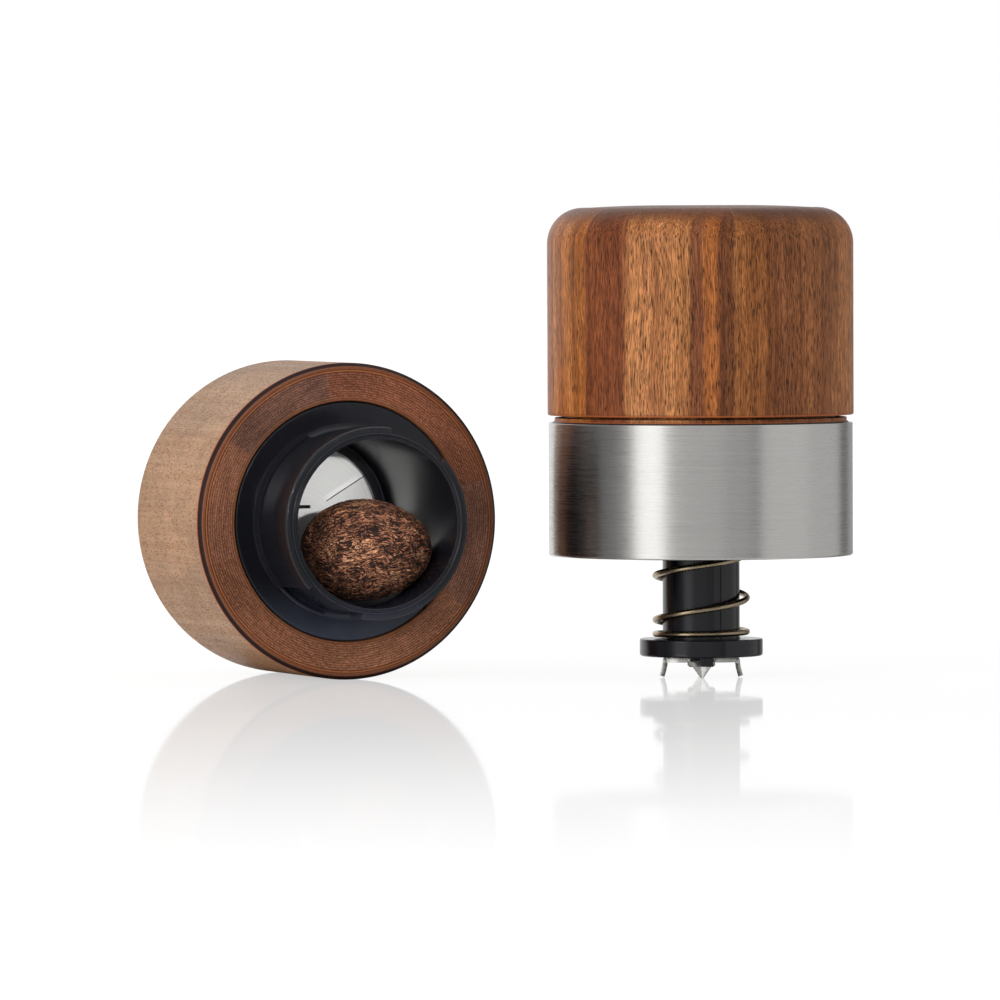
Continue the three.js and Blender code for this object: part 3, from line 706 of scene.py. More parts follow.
class Shade(Nodes):
    """A material's nodes, on coordinates in a piece's own frame."""

    def __init__(self, name: str, place: Matrix) -> None:
        """Makes the material and a mapping from the object to the piece's frame in millimetres.

        Args:
            name: the material's name.
            place: the piece's frame.
        """
        self.material = bpy.data.materials.new(name)
        self.material.use_nodes = True
        super().__init__(self.material.node_tree)
        self.shader = self.tree.nodes["Principled BSDF"]
        self.coordinates = self.node("ShaderNodeTexCoord")
        self.back = place.inverted()
        self.local = self.mapped_by(self.coordinates.outputs["Object"], "POINT", 1 / MM)

    def mapped_by(self, source: Socket, kind: str, scale: float) -> Socket:
        """Turns a vector of the object into the piece's own frame.

        Args:
            source: the vector.
            kind: whether it is a place or a normal.
            scale: what its lengths are multiplied by.

        Returns:
            The turned vector.
        """
        mapping = self.node("ShaderNodeMapping")
        mapping.vector_type = kind
        self.put(mapping.inputs["Vector"], source)
        mapping.inputs["Scale"].default_value = (scale, scale, scale)
        mapping.inputs["Rotation"].default_value = self.back.to_euler("XYZ")
        if kind == "POINT":
            mapping.inputs["Location"].default_value = self.back.translation
        return mapping.outputs[0]

    def clouds(
        self,
        source: Socket,
        stretch: Tone,
        detail: float = 2,
        distortion: float = 0,
        roughness: float = 0.5,
    ) -> Socket:
        """Noise whose grains have these lengths along the three axes.

        Args:
            source: the coordinates.
            stretch: grain lengths, in millimetres.
            detail: finer layers of noise.
            distortion: how far the grains are swirled.
            roughness: strength of the finer layers.

        Returns:
            The noise, from 0 to 1 and mostly near a half.
        """
        scaled = self.vector("DIVIDE", source, stretch)
        node = self.node("ShaderNodeTexNoise", Vector=scaled, Scale=1, Detail=detail)
        node.inputs["Roughness"].default_value = roughness
        node.inputs["Distortion"].default_value = distortion
        return node.outputs[0]

    def swirled(self, source: Socket, size: float, reach: float) -> Socket:
        """Coordinates pushed about by soft swirls of this size, in millimetres.

        Args:
            source: the coordinates.
            size: the swirls' size.
            reach: how far they push, at most.

        Returns:
            The pushed coordinates.
        """
        scaled = self.vector("DIVIDE", source, (size, size, size))
        node = self.node("ShaderNodeTexNoise", Vector=scaled, Scale=1, Detail=1)
        push = self.vector("SUBTRACT", node.outputs["Color"], (0.5, 0.5, 0.5))
        return self.vector("ADD", source, self.vector("MULTIPLY", push, (reach, reach, reach)))

    def creases(self, source: Socket, stretch: Tone, width: float) -> Socket:
        """Thin winding creases: 0 in a crease and 1 between them.

        Args:
            source: the coordinates.
            stretch: lengths of the folds, in millimetres.
            width: a crease's width, as a share of the noise.

        Returns:
            The height, from 0 to 1.
        """
        field = self.clouds(source, stretch, 1)
        away = self.calc("ABSOLUTE", self.minus(field, 0.5))
        return self.remap(away, 0.0, width, 0, 1)

    def dashes(self, source: Socket, stretch: Tone, width: float, share: Value) -> Socket:
        """Short dashes scattered one to a cell.

        Args:
            source: the coordinates.
            stretch: the cells' lengths, in millimetres.
            width: a dash's half width as a share of its cell.
            share: how many cells hold one, from 0 to 1.

        Returns:
            1 in a dash and 0 outside.
        """
        scaled = self.vector("DIVIDE", source, stretch)
        node = self.node("ShaderNodeTexVoronoi", Vector=scaled, Scale=1)
        red, _, _ = self.split(node.outputs["Color"])
        inside = self.remap(node.outputs["Distance"], width * 0.5, width, 1, 0)
        held = self.calc("LESS_THAN", red, share)
        return self.times(inside, held)

    def vary(
        self,
        colour: Value,
        field: Socket,
        low: Union[float, Tone],
        high: Union[float, Tone],
        spread: float = 0.2,
    ) -> Socket:
        """A colour that a field of noise darkens and lightens.

        Args:
            colour: the colour.
            field: noise from 0 to 1.
            low: the factor where the noise is low, or one each for red, green and blue.
            high: the same where it is high.
            spread: how far from a half the noise counts as low or high.

        Returns:
            The varied colour.
        """
        start, end = 0.5 - spread, 0.5 + spread
        if isinstance(low, tuple):
            factors = [self.remap(field, start, end, a, b) for a, b in zip(low, high)]
        else:
            factors = [self.remap(field, start, end, low, high)] * 3
        return self.vector("MULTIPLY", colour, self.combine(*factors))

    def bump(self, height: Value, distance: float, strength: float = 1.0) -> None:
        """Raises the surface by a height, at most by this many millimetres."""
        node = self.node("ShaderNodeBump", Strength=strength, Distance=distance * MM, Height=height)
        self.set(Normal=node.outputs[0])

    def set(self, **values: Value) -> None:
        """Sets or links the shader's sockets, by names with underscores for spaces."""
        for name, value in values.items():
            self.put(self.shader.inputs[name.replace("_", " ")], value)


def tint(level: float) -> tuple[float, float, float, float]:
    """A grey of this linear level."""
    return (level, level, level, 1.0)


@dataclass(frozen=True)
class Stave:
    """One glued stave of a turned wooden piece."""

    start: float
    tone: Tone
    end_tone: Tone
    pores: float


@dataclass(frozen=True)
class GluedWood:
    """Hardwood turned from a ring of glued staves, oiled to a low sheen.

    Angles are in degrees round the piece's axis. A stripe is an angle with the factors that its
    red, green and blue take there. An edge line is a place along the surface, which is the level
    less the radius, with a colour and how far it covers the wood.
    """

    name: str
    staves: tuple[Stave, ...]
    outer_radius: float
    pore_size: Tone = (0.42, 0.42, 3.4)
    pore_depth: float = 0.7
    pore_tone: Tone = (52, 26, 16)
    hair_depth: float = 0.4
    fibre_size: Tone = (0.14, 0.3, 3.2)
    fibre: float = 0.2
    streak: float = 1.0
    stripes: tuple[tuple[float, Tone], ...] = ()
    ragged: float = 0.0
    joint_tone: Tone = (150, 92, 58)
    joint_width: float = 0.3
    joint_share: float = 0.5
    end_joint_share: float = 0.5
    edge_lines: tuple[tuple[float, Tone, float], ...] = ()
    groove_share: float = 0.0
    groove_pitch: float = 0.46
    wave: float = 0.6
    roughness: float = 0.46
    oil: float = 0.12

    def _starts(self) -> list[float]:
        """Each stave's start as a share of a turn, set on the steps that a ramp can hold."""
        return [round(stave.start / 360 * RAMP_STEPS) / RAMP_STEPS for stave in self.staves]

    def _held(self, shade: Shade, turn: Socket, colours: Sequence[tuple]) -> Socket:
        """A colour that holds over each stave.

        Args:
            shade: the material.
            turn: the angle as a share of a turn.
            colours: one colour for each stave.

        Returns:
            The colour.
        """
        early = RAMP_LEAD / RAMP_STEPS
        stops = [(0.0, colours[-1])]
        stops += [(start - early, colour) for start, colour in zip(self._starts(), colours)]
        return shade.ramp(turn, stops, steps=True)[0]

    def _layout(self, shade: Shade, turn: Socket) -> tuple[Socket, Socket, Socket]:
        """The middle, half width and seed of the stave at an angle, in shares of a turn.

        Args:
            shade: the material.
            turn: the angle as a share of a turn.

        Returns:
            The middle, the half width and the seed.
        """
        starts = self._starts()
        ends = starts[1:] + [starts[0] + 1]
        colours = []
        for i, (start, end) in enumerate(zip(starts, ends)):
            colours.append((((start + end) / 2) % 1.0, (end - start) / 2, 0.13 + 0.11 * i, 1.0))
        return shade.split(self._held(shade, turn, colours))

    def build(self, place: Matrix) -> bpy.types.Material:
        """Makes the material.

        Args:
            place: the frame of the piece, with Z along its axis.

        Returns:
            The material.
        """
        shade = Shade(self.name, place)
        x, y, z = shade.split(shade.local)
        radius = shade.length(x, y)
        turn = shade.calc("DIVIDE", shade.calc("ARCTAN2", y, x), FULL_TURN)
        turn = shade.calc("FRACT", shade.plus(turn, 1.0))
        middle, half, seed = self._layout(shade, turn)
        offset = shade.calc("FRACT", shade.plus(shade.minus(turn, middle), 0.5))
        offset = shade.minus(offset, 0.5)
        angle = shade.times(offset, FULL_TURN)
        across = shade.times(radius, shade.calc("SINE", angle))
        inward = shade.times(radius, shade.calc("COSINE", angle))
        shift = shade.vector("MULTIPLY", shade.combine(seed, seed, seed), (211, 97, 331))
        grain = shade.vector("ADD", shade.combine(across, inward, z), shift)
        sway = shade.minus(shade.clouds(grain, (9, 9, 30), 1), 0.5)
        bend = shade.combine(shade.times(sway, self.wave * 6), 0, 0)
        swayed = shade.vector("ADD", grain, bend)
        patch = shade.clouds(grain, (16, 16, 26), 2)
        fine = shade.clouds(swayed, (0.75, 2.4, 60), 3)

        side, pores = self._side(shade, turn, middle, across, sway, (grain, swayed, patch, fine))
        cut, circles = self._end(shade, turn, radius, grain, patch)
        facing = shade.mapped_by(shade.coordinates.outputs["Normal"], "NORMAL", 1)
        end = shade.remap(shade.calc("ABSOLUTE", shade.split(facing)[2]), 0.46, 0.95, 0, 1)
        colour = shade.mix(end, side, cut)

        room = shade.minus(half, shade.calc("ABSOLUTE", offset))
        room = shade.times(room, FULL_TURN, radius)
        joint = shade.remap(room, 0, self.joint_width / 2, 1, 0)
        reach = shade.remap(end, 0.2, 0.8, self.joint_share, self.end_joint_share)
        colour = shade.mix(shade.times(joint, reach), colour, linear(self.joint_tone))
        if self.edge_lines:
            low, high = self.edge_lines[0][0], self.edge_lines[-1][0]
            spot = shade.minus(shade.minus(z, radius), low)
            spot = shade.calc("DIVIDE", spot, high - low)
            stops = []
            for at, tone, share in self.edge_lines:
                stops.append(((at - low) / (high - low), linear(tone, share)))
            line, cover = shade.ramp(spot, stops)
            colour = shade.mix(cover, colour, line)

        worn = shade.remap(fine, 0.3, 0.7, 0.05, -0.04)
        gloss = shade.plus(shade.times(pores, 0.2), self.roughness, worn)
        shade.set(Base_Color=colour, Roughness=gloss)
        shade.set(Coat_Weight=self.oil, Coat_Roughness=0.3, Specular_IOR_Level=0.2)
        relief = shade.minus(shade.times(fine, 0.35), pores)
        turned = shade.times(circles, self.groove_share * 2, end)
        shade.bump(shade.plus(relief, turned), 0.05, 0.6)
        return shade.material

    def _side(
        self,
        shade: Shade,
        turn: Socket,
        middle: Socket,
        across: Socket,
        sway: Socket,
        fields: tuple[Socket, Socket, Socket, Socket],
    ) -> tuple[Socket, Socket]:
        """The wood where the saw ran along it: streaks, fibres and open pores.

        Args:
            shade: the material.
            turn: the angle as a share of a turn.
            middle: the middle of the stave there.
            across: distance across the stave.
            sway: how far the grain sways.
            fields: straight and swayed coordinates, patches and fine streaks.

        Returns:
            The colour, and where the pores are.
        """
        grain, swayed, patch, fine = fields
        tone = self._held(shade, turn, [linear(stave.tone) for stave in self.staves])
        if self.stripes:
            low, high = self.stripes[0][0] / 360, self.stripes[-1][0] / 360
            chord = shade.calc("ARCSINE", shade.calc("DIVIDE", across, self.outer_radius))
            aside = shade.calc("DIVIDE", chord, FULL_TURN)
            swaying = shade.times(sway, self.wave * 0.012)
            torn = shade.minus(shade.clouds(grain, (0.7, 2.4, 11), 2), 0.5)
            spot = shade.plus(middle, aside, swaying, shade.times(torn, self.ragged))
            spot = shade.calc("DIVIDE", shade.minus(spot, low), high - low)
            stops = []
            for degrees, factors in self.stripes:
                stops.append(((degrees / 360 - low) / (high - low), (*factors, 1.0)))
            tone = shade.vector("MULTIPLY", tone, shade.ramp(spot, stops)[0])
        broad = shade.clouds(swayed, (3.6, 9, 150), 2)
        low = tuple(1 - self.streak * part for part in (0.2, 0.24, 0.28))
        high = tuple(1 + self.streak * part for part in (0.14, 0.15, 0.16))
        side = shade.vary(tone, broad, low, high)
        low = tuple(1 - self.streak * part for part in (0.16, 0.2, 0.22))
        high = tuple(1 + self.streak * part for part in (0.12, 0.13, 0.14))
        side = shade.vary(side, fine, low, high)
        fibres = shade.clouds(swayed, self.fibre_size, 2)
        side = shade.vary(side, fibres, 1 - self.fibre, 1 + self.fibre * 0.8, 0.14)
        ripple = shade.clouds(grain, (6, 6, 4.5), 1, distortion=0.4)
        side = shade.vary(side, ripple, 0.93, 1.07)
        side = shade.vary(side, patch, 0.88, 1.1)

        shares = self._held(shade, turn, [tint(stave.pores) for stave in self.staves])
        share = shade.split(shares)[0]
        crowd = shade.remap(shade.clouds(swayed, (2.6, 5, 40), 1), 0.35, 0.65, 0.35, 1.25)
        pores = shade.dashes(swayed, self.pore_size, 0.34, shade.times(share, crowd))
        apart = shade.vector("ADD", swayed, (31.7, 12.9, 7.3))
        small = tuple(part * 0.62 for part in self.pore_size)
        hairs = shade.dashes(apart, small, 0.3, shade.times(share, 0.8))
        dark = linear(self.pore_tone)
        side = shade.mix(shade.times(pores, self.pore_depth), side, dark)
        side = shade.mix(shade.times(hairs, self.hair_depth), side, dark)
        return side, pores

    def _end(
        self, shade: Shade, turn: Socket, radius: Socket, grain: Socket, patch: Socket
    ) -> tuple[Socket, Socket]:
        """The wood where it is cut across: darker, with year rings and the tool's circles.

        Args:
            shade: the material.
            turn: the angle as a share of a turn.
            radius: distance from the axis.
            grain: the stave's own coordinates.
            patch: slow changes of the tone.

        Returns:
            The colour, and the height of the tool's circles.
        """
        cut = self._held(shade, turn, [linear(stave.end_tone) for stave in self.staves])
        cut = shade.vary(cut, shade.clouds(grain, (7, 0.55, 300), 2), 0.8, 1.16)
        dust = shade.clouds(shade.local, (0.24, 0.24, 9), 2)
        cut = shade.vary(cut, dust, (0.62, 0.58, 0.56), (1.44, 1.4, 1.36), 0.16)
        cut = shade.vary(cut, patch, 0.76, 1.18)
        drift = shade.clouds(shade.combine(radius, 0, 0), (1.9, 1, 1), 1)
        phase = shade.plus(shade.calc("DIVIDE", radius, self.groove_pitch), drift)
        circles = shade.calc("SINE", shade.times(phase, FULL_TURN))
        circles = shade.plus(shade.times(circles, 0.5), 0.5)
        # The tool's circles also darken and lighten the end grain's colour: painted shade and light
        # of the fine grooves, beside their bump.
        depth = self.groove_share
        cut = shade.vary(cut, circles, 1 - 0.42 * depth, 1 + 0.36 * depth, 0.45)
        round_it = shade.combine(radius, shade.times(turn, FULL_TURN * 26), 0)
        ticks = shade.clouds(round_it, (0.22, 0.8, 1), 1)
        cut = shade.vary(cut, ticks, 1 - 0.1 * depth, 1 + 0.1 * depth, 0.16)
        specks = shade.dashes(grain, (0.5, 0.5, 3), 0.26, 0.5)
        cut = shade.mix(shade.times(specks, 0.5), cut, linear((48, 26, 18)))
        return cut, circles


@dataclass(frozen=True)
class SatinMoulding:
    """Black moulded plastic with a low sheen, and where that is said a painted sheen: its lower
    side painted paler and bluer, as light falling on it.
    """

    name: str
    tone: Tone = (23, 24, 28)
    roughness: float = 0.26
    grain: float = 0.9
    scuffs: float = 0.3
    painted_sheen_tone: Tone | None = None
    lower: tuple[float, float] = (-10.0, -23.0)

    def build(self, place: Matrix) -> bpy.types.Material:
        """Makes the material for a piece in this frame.

        Args:
            place: the piece's frame.

        Returns:
            The material.
        """
        shade = Shade(self.name, place)
        skin = shade.clouds(shade.local, (self.grain, self.grain, self.grain), 2)
        wear = shade.clouds(shade.local, (5, 5, 9), 2)
        rubs = shade.clouds(shade.local, (0.4, 4.5, 0.4), 2)
        tone = linear(self.tone)[:3]
        # Painted sheen: the colour turns paler and bluer towards the lower side, standing in for
        # light on the flange.
        if self.painted_sheen_tone is not None:
            fall = shade.remap(shade.split(shade.local)[1], *self.lower, 0, 1)
            tone = shade.mix(fall, (*tone, 1.0), linear(self.painted_sheen_tone))
        colour = shade.vary(tone, wear, 0.93, 1.08)
        gloss = shade.plus(self.roughness, shade.remap(rubs, 0.45, 0.75, 0, 0.06 * self.scuffs))
        shade.set(Base_Color=colour, Roughness=gloss, Specular_IOR_Level=0.5)
        shade.bump(skin, 0.0004, 0.3)
        return shade.material


class Brushing(Enum):
    """Which way a steel's fine lines run."""

    AROUND = "around"
    DISC = "disc"
    NONE = "none"


@dataclass(frozen=True)
class Steel:
    """Steel with the fine lines of its last grinding or drawing."""

    name: str
    tone: Tone = (214, 212, 208)
    roughness: float = 0.3
    brushing: Brushing = Brushing.NONE
    stretch: float = 0.0
    line: float = 0.09
    contrast: float = 1.0
    metal: float = 1.0

    def build(self, place: Matrix) -> bpy.types.Material:
        """Makes the material for a piece in this frame.

        Args:
            place: the piece's frame.

        Returns:
            The material.
        """
        shade = Shade(self.name, place)
        x, y, _ = shade.split(shade.local)
        if self.brushing is Brushing.AROUND:
            lines = shade.clouds(shade.local, (22, 22, self.line), 3)
            faint = shade.clouds(shade.local, (9, 9, self.line * 4), 2)
        elif self.brushing is Brushing.DISC:
            radius = shade.length(x, y)
            lines = shade.clouds(shade.combine(radius, 0, 0), (self.line, 1, 1), 3)
            faint = shade.clouds(shade.local, (2.5, 2.5, 2.5), 2)
        else:
            lines = shade.clouds(shade.local, (0.3, 0.3, 0.3), 2)
            faint = shade.clouds(shade.local, (2.5, 2.5, 2.5), 2)
        low, high = 1 - 0.06 * self.contrast, 1 + 0.05 * self.contrast
        colour = shade.vary(linear(self.tone)[:3], lines, low, high)
        coarse = shade.remap(lines, 0.3, 0.7, -0.03, 0.04)
        gloss = shade.plus(self.roughness, coarse, shade.remap(faint, 0.3, 0.7, -0.03, 0.03))
        shade.set(Base_Color=colour, Roughness=gloss, Metallic=self.metal)
        if self.stretch > 0:
            shade.set(Anisotropic=self.stretch, Anisotropic_Rotation=0.25)
            tangent = shade.node("ShaderNodeTangent")
            tangent.direction_type = "UV_MAP"
            tangent.uv_map = "around"
            shade.set(Tangent=tangent.outputs[0])
        if self.brushing is not Brushing.NONE:
            shade.bump(lines, 0.002, 0.3)
        return shade.material


@dataclass(frozen=True)
class Nylon:
    """Off-white nylon, a little see-through at its edges."""

    name: str
    tone: Tone = (217, 214, 204)

    def build(self, place: Matrix) -> bpy.types.Material:
        """Makes the material for a piece in this frame.

        Args:
            place: the piece's frame.

        Returns:
            The material.
        """
        shade = Shade(self.name, place)
        patch = shade.clouds(shade.local, (3, 3, 3), 3)
        colour = shade.vary(linear(self.tone)[:3], patch, 0.93, 1.03)
        shade.set(Base_Color=colour, Roughness=0.42, Subsurface_Weight=0.15)
        shade.bump(shade.clouds(shade.local, (0.4, 0.4, 0.4), 2), 0.004, 0.4)
        return shade.material


@dataclass(frozen=True)
class NutmegSkin:
    """The seed's furrowed brown skin: dark in the furrows, partly its own colour and partly painted
    shade, and lighter on the ridges up to a painted highlight.
    """

    name: str
    furrow: Tone = (27, 16, 13)
    skin: Tone = (144, 90, 67)
    ridge: Tone = (237, 160, 117)
    painted_ridge_highlight: Tone = (255, 222, 170)

    def build(self, place: Matrix) -> bpy.types.Material:
        """Makes the material for the seed, from the relief that its mesh carries.

        Args:
            place: the piece's frame.

        Returns:
            The material.
        """
        shade = Shade(self.name, place)
        relief = shade.node("ShaderNodeAttribute")
        relief.attribute_name = "relief"
        height = relief.outputs["Fac"]
        swirl = shade.swirled(shade.swirled(shade.local, 5.4, 4.2), 1.9, 0.5)
        long = shade.creases(swirl, (4.4, 0.62, 0.62), 0.09)
        apart = shade.vector("ADD", swirl, (17.3, 5.1, 8.8))
        fine = shade.creases(apart, (2.3, 0.34, 0.34), 0.11)
        patch = shade.clouds(shade.local, (4.2, 3.0, 3.0), 2)
        specks = shade.clouds(swirl, (0.7, 0.2, 0.2), 2, roughness=0.7)
        # The colour follows the furrows' height: dark in them partly as painted shade, palest on
        # the ridges as painted highlight.
        level = shade.plus(
            shade.times(height, 0.16),
            shade.times(long, 0.34),
            shade.times(fine, 0.2),
            shade.remap(specks, 0.36, 0.64, -0.1, 0.16),
            shade.remap(patch, 0.34, 0.68, -0.06, 0.08),
        )
        stops = [
            (0.2, linear(self.furrow)),
            (0.42, linear((66, 39, 31))),
            (0.56, linear(self.skin)),
            (0.7, linear(self.ridge)),
            (0.88, linear(self.painted_ridge_highlight)),
        ]
        colour, _ = shade.ramp(level, stops)
        shade.set(Base_Color=colour, Roughness=0.52, Specular_IOR_Level=0.4)
        shade.bump(shade.plus(long, shade.times(fine, 0.6), shade.times(specks, 0.7)), 0.2)
        return shade.material


# Base half


@dataclass
class BaseHalf:
    """The lying half: turned ring, black liner with its bayonet collar, disc and retainer."""

    place: Matrix
    outer_radius: float
    length: float = 39.0
    foot_round: float = 2.66
    mouth_chamfer: float = 0.9
    foot_hole: float = 20.5
    foot_hole_chamfer: float = 1.2
    seat_radius: float = 23.55
    seat_level: float = 35.9
    chamber: float = 16.5
    collar: float = 17.6
    rim_level: float = 55.5
    rim_rings: tuple[float, float, float, float] = (0.82, 0.58, 0.3, 0.16)
    rim_groove: float = 0.3
    flange: float = 23.4
    flange_top: float = 38.6
    flange_bottom: float = 36.2
    trough_radius: float = 19.4
    trough_level: float = 38.15
    neck: float = 18.4
    foot_radius: float = 20.2
    ledge: float = 14.4
    ledge_bottom: float = 14.4
    ledge_top: float = 15.9
    foot_top: float = 21.4
    taper: float = 1.6
    bayonet: float = 18.8
    lip_bottom: float = 48.1
    lip_top: float = 55.1
    bayonet_start: float = -138.0
    block_degrees: float = 105.0
    lip_degrees: float = 37.0
    disc_radius: float = 20.2
    disc_bottom: float = 13.5
    disc_top: float = 14.1
    slot_inner: float = 5.4
    slot_length: float = 10.0
    slot_aside: float = 0.54
    slot_width: float = 0.18
    slot_angles: tuple[float, ...] = (31.0, 151.0, 271.0)
    blade_rise: float = 0.03
    blade_foot: float = 1.0
    blade_end: float = 0.3
    painted_slot_shade: tuple[float, float, float, float] = (-3.4, 1.0, 1.85, 2.5)
    shade_strip_depth: float = 0.2
    ridge: tuple[float, float] = (18.5, 19.3)
    ridge_rise: float = 0.55
    ridge_degrees: tuple[float, float] = (-5.0, 33.0)
    block_flare: float = 0.9
    block_foot: float = 1.6

    def wood(self) -> bpy.types.Material:
        """The pale, finely pored wood of the base.

        Returns:
            The material.
        """
        pale, warm, dusk = (199, 157, 121), (201, 150, 106), (195, 151, 114)
        staves = (
            Stave(15, warm, (138, 86, 62), 1.1),
            Stave(99, pale, (120, 84, 70), 1.1),
            Stave(147, dusk, (151, 101, 77), 1.15),
            Stave(195, pale, (155, 102, 75), 1.1),
            Stave(263, warm, (167, 113, 84), 1.1),
            Stave(325, pale, (152, 106, 86), 1.1),
        )
        burnt, glow, brown = (22, 8, 14), (206, 92, 40), (140, 82, 52)
        # Painted highlight and shade: the orange hairline at 9.54 to 9.66, with dark lines at 9.38
        # and 9.76, stands for light and shade on a small groove at the face's edge.
        lines = (
            (5.9, glow, 0.0), (6.65, glow, 0.3), (6.9, glow, 0.85), (7.2, (60, 30, 30), 0.95),
            (7.5, burnt, 0.97), (8.2, burnt, 0.95), (8.45, (66, 36, 30), 0.9), (8.7, brown, 0.7),
            (9.2, brown, 0.7), (9.38, (70, 38, 26), 0.85), (9.54, (206, 122, 66), 0.75),
            (9.66, (190, 110, 60), 0.6), (9.76, (66, 36, 26), 0.8), (9.96, (110, 66, 44), 0.0),
            (14.5, (110, 66, 44), 0.0), (14.82, (164, 108, 70), 0.5), (14.96, (80, 48, 32), 0.6),
            (15.2, (150, 88, 50), 0.6), (15.5, (48, 28, 22), 0.8),
        )
        finish = GluedWood(
            name="base_wood",
            staves=staves,
            outer_radius=self.outer_radius,
            pore_size=(0.4, 0.4, 1.7),
            pore_depth=0.76,
            pore_tone=(132, 74, 42),
            hair_depth=0.68,
            fibre_size=(0.2, 0.4, 1.1),
            fibre=0.15,
            streak=0.36,
            edge_lines=lines,
            groove_share=0.76,
            joint_tone=(176, 112, 84),
            joint_width=0.3,
            joint_share=0.25,
            end_joint_share=0.24,
            wave=0.25,
            oil=0.03,
        )
        return finish.build(self.place)

    def turn_wood(self) -> Workpiece:
        """Turns the ring of wood.

        Returns:
            The workpiece.
        """
        corners = (
            (self.foot_hole + self.foot_hole_chamfer, 0, 0.3),
            (self.outer_radius, 0, self.foot_round),
            (self.outer_radius, self.length - self.mouth_chamfer, 0.35),
            (self.outer_radius - self.mouth_chamfer, self.length, 0.25),
            (self.seat_radius, self.length, 0.2),
            (self.seat_radius, self.seat_level),
            (self.foot_hole, self.seat_level),
            (self.foot_hole, self.foot_hole_chamfer, 0.3),
        )
        return Workpiece().turn(corners)

    def mould_liner(self) -> Workpiece:
        """Moulds the liner: foot, neck, dished flange and collar with two bayonet starts.

        Returns:
            The workpiece.
        """
        work = Workpiece()
        ring_outer, groove_outer, groove_inner, ring_inner = self.rim_rings
        corners = (
            (self.ledge, self.ledge_bottom, 0.15),
            (self.foot_radius, self.ledge_bottom, 0.3),
            (self.foot_radius, self.foot_top, 0.5),
            (self.neck, self.foot_top + self.taper, 0.4),
            (self.neck, self.flange_bottom),
            (self.flange, self.flange_bottom, 0.2),
            (self.flange, self.flange_top, 0.45),
            (self.trough_radius, self.trough_level, 0.25),
            (self.collar, self.trough_level - 0.1, 1.5),
            (self.collar, self.rim_level, 0.2),
            (self.chamber + ring_outer, self.rim_level, 0.07),
            (self.chamber + groove_outer, self.rim_level - self.rim_groove, 0.08),
            (self.chamber + groove_inner, self.rim_level - self.rim_groove, 0.08),
            (self.chamber + ring_inner, self.rim_level, 0.05),
            (self.chamber, self.rim_level - 0.1, 0.05),
            (self.chamber, self.ledge_top, 0.3),
            (self.ledge, self.ledge_top, 0.3),
        )
        work.turn(corners)
        root = (self.chamber + self.collar) / 2
        inner, outer = self.ridge
        early, late = self.ridge_degrees
        for i in range(2):
            start = self.bayonet_start + 180 * i
            middle = start - self.block_degrees
            block = (
                (root, self.flange_top - 1),
                (self.bayonet + self.block_flare, self.flange_top - 1),
                (self.bayonet + self.block_flare, self.flange_top + 0.1, 0.3),
                (self.bayonet, self.flange_top + self.block_foot, 0.6),
                (self.bayonet, self.lip_top, 0.35),
                (root, self.lip_top),
            )
            work.sweep(block, middle, start, 0.3)
            lip = (
                (root, self.lip_bottom),
                (self.bayonet, self.lip_bottom, 0.3),
                (self.bayonet, self.lip_top, 0.35),
                (root, self.lip_top),
            )
            work.sweep(lip, middle - self.lip_degrees, middle + 1, 0.3)
            ridge = (
                (inner, self.flange_top - 1),
                (outer, self.flange_top - 1),
                (outer, self.flange_top + self.ridge_rise, 0.3),
                (inner, self.flange_top + self.ridge_rise, 0.3),
            )
            work.sweep(ridge, start + early, start + late, 0.25)
        return work

    def _strips(self, work: Workpiece, level: float, height: float) -> Workpiece:
        """Adds a strip as long and wide as each slot, so high and round this level.

        Args:
            work: the workpiece that they are added to.
            level: the level of their middles.
            height: how high they are.

        Returns:
            The workpiece.
        """
        along = self.slot_inner + self.slot_length / 2
        for angle in self.slot_angles:
            size = Vector((self.slot_length, self.slot_width, height))
            work.block(size, Vector((along, self.slot_aside, level)), angle, 0)
        return work

    def press_disc(self) -> bpy.types.Object:
        """Presses the disc: three hairline slots, each beside its low ground blade.

        Returns:
            The placed disc, whose second finish paints black shade into its slots and onto a bar
            across it.
        """
        corners = (
            (0, self.disc_bottom),
            (self.disc_radius, self.disc_bottom, 0.1),
            (self.disc_radius, self.disc_top, 0.1),
            (0, self.disc_top),
        )
        disc = to_object("grating_plate", Workpiece().turn(corners, INNER_STEPS), self.place)
        thick = self.disc_top - self.disc_bottom
        slots = self._strips(Workpiece(), self.disc_bottom + thick / 2, thick + 2)
        disc = carve(disc, slots, self.place)
        blades_and_shade_strips = Workpiece()
        along_end = self.slot_inner + self.slot_length - self.blade_end
        for angle in self.slot_angles:
            blades_and_shade_strips.wedge(
                (self.slot_inner + self.blade_end, along_end),
                (self.slot_aside + self.slot_width / 2, self.slot_aside + self.blade_foot),
                (self.disc_top - 0.02, self.disc_top + self.blade_rise),
                angle,
            )
        blade_faces = len(blades_and_shade_strips.mesh.faces)
        # Painted shade: a black bar on the disc and black strips in the slots stand for the shade
        # in their gaps.
        left, right, low, high = self.painted_slot_shade
        size = Vector((right - left, high - low, self.shade_strip_depth))
        middle = Vector(((left + right) / 2, (low + high) / 2, self.disc_top - 0.06))
        blades_and_shade_strips.block(size, middle, soften=0)
        self._strips(blades_and_shade_strips, self.disc_top - 0.09, self.shade_strip_depth)
        blades_and_shade_strips.mesh.faces.ensure_lookup_table()
        for face in blades_and_shade_strips.mesh.faces[blade_faces:]:
            face.material_index = 1
        added = to_object("blades_and_shade_strips", blades_and_shade_strips, self.place)
        joined = bmesh.new()
        joined.from_mesh(disc.data)
        joined.from_mesh(added.data)
        joined.to_mesh(disc.data)
        joined.free()
        spare = added.data
        bpy.data.objects.remove(added)
        bpy.data.meshes.remove(spare)
        disc.data.set_sharp_from_angle(angle=math.radians(SHARP_DEGREES))
        return disc

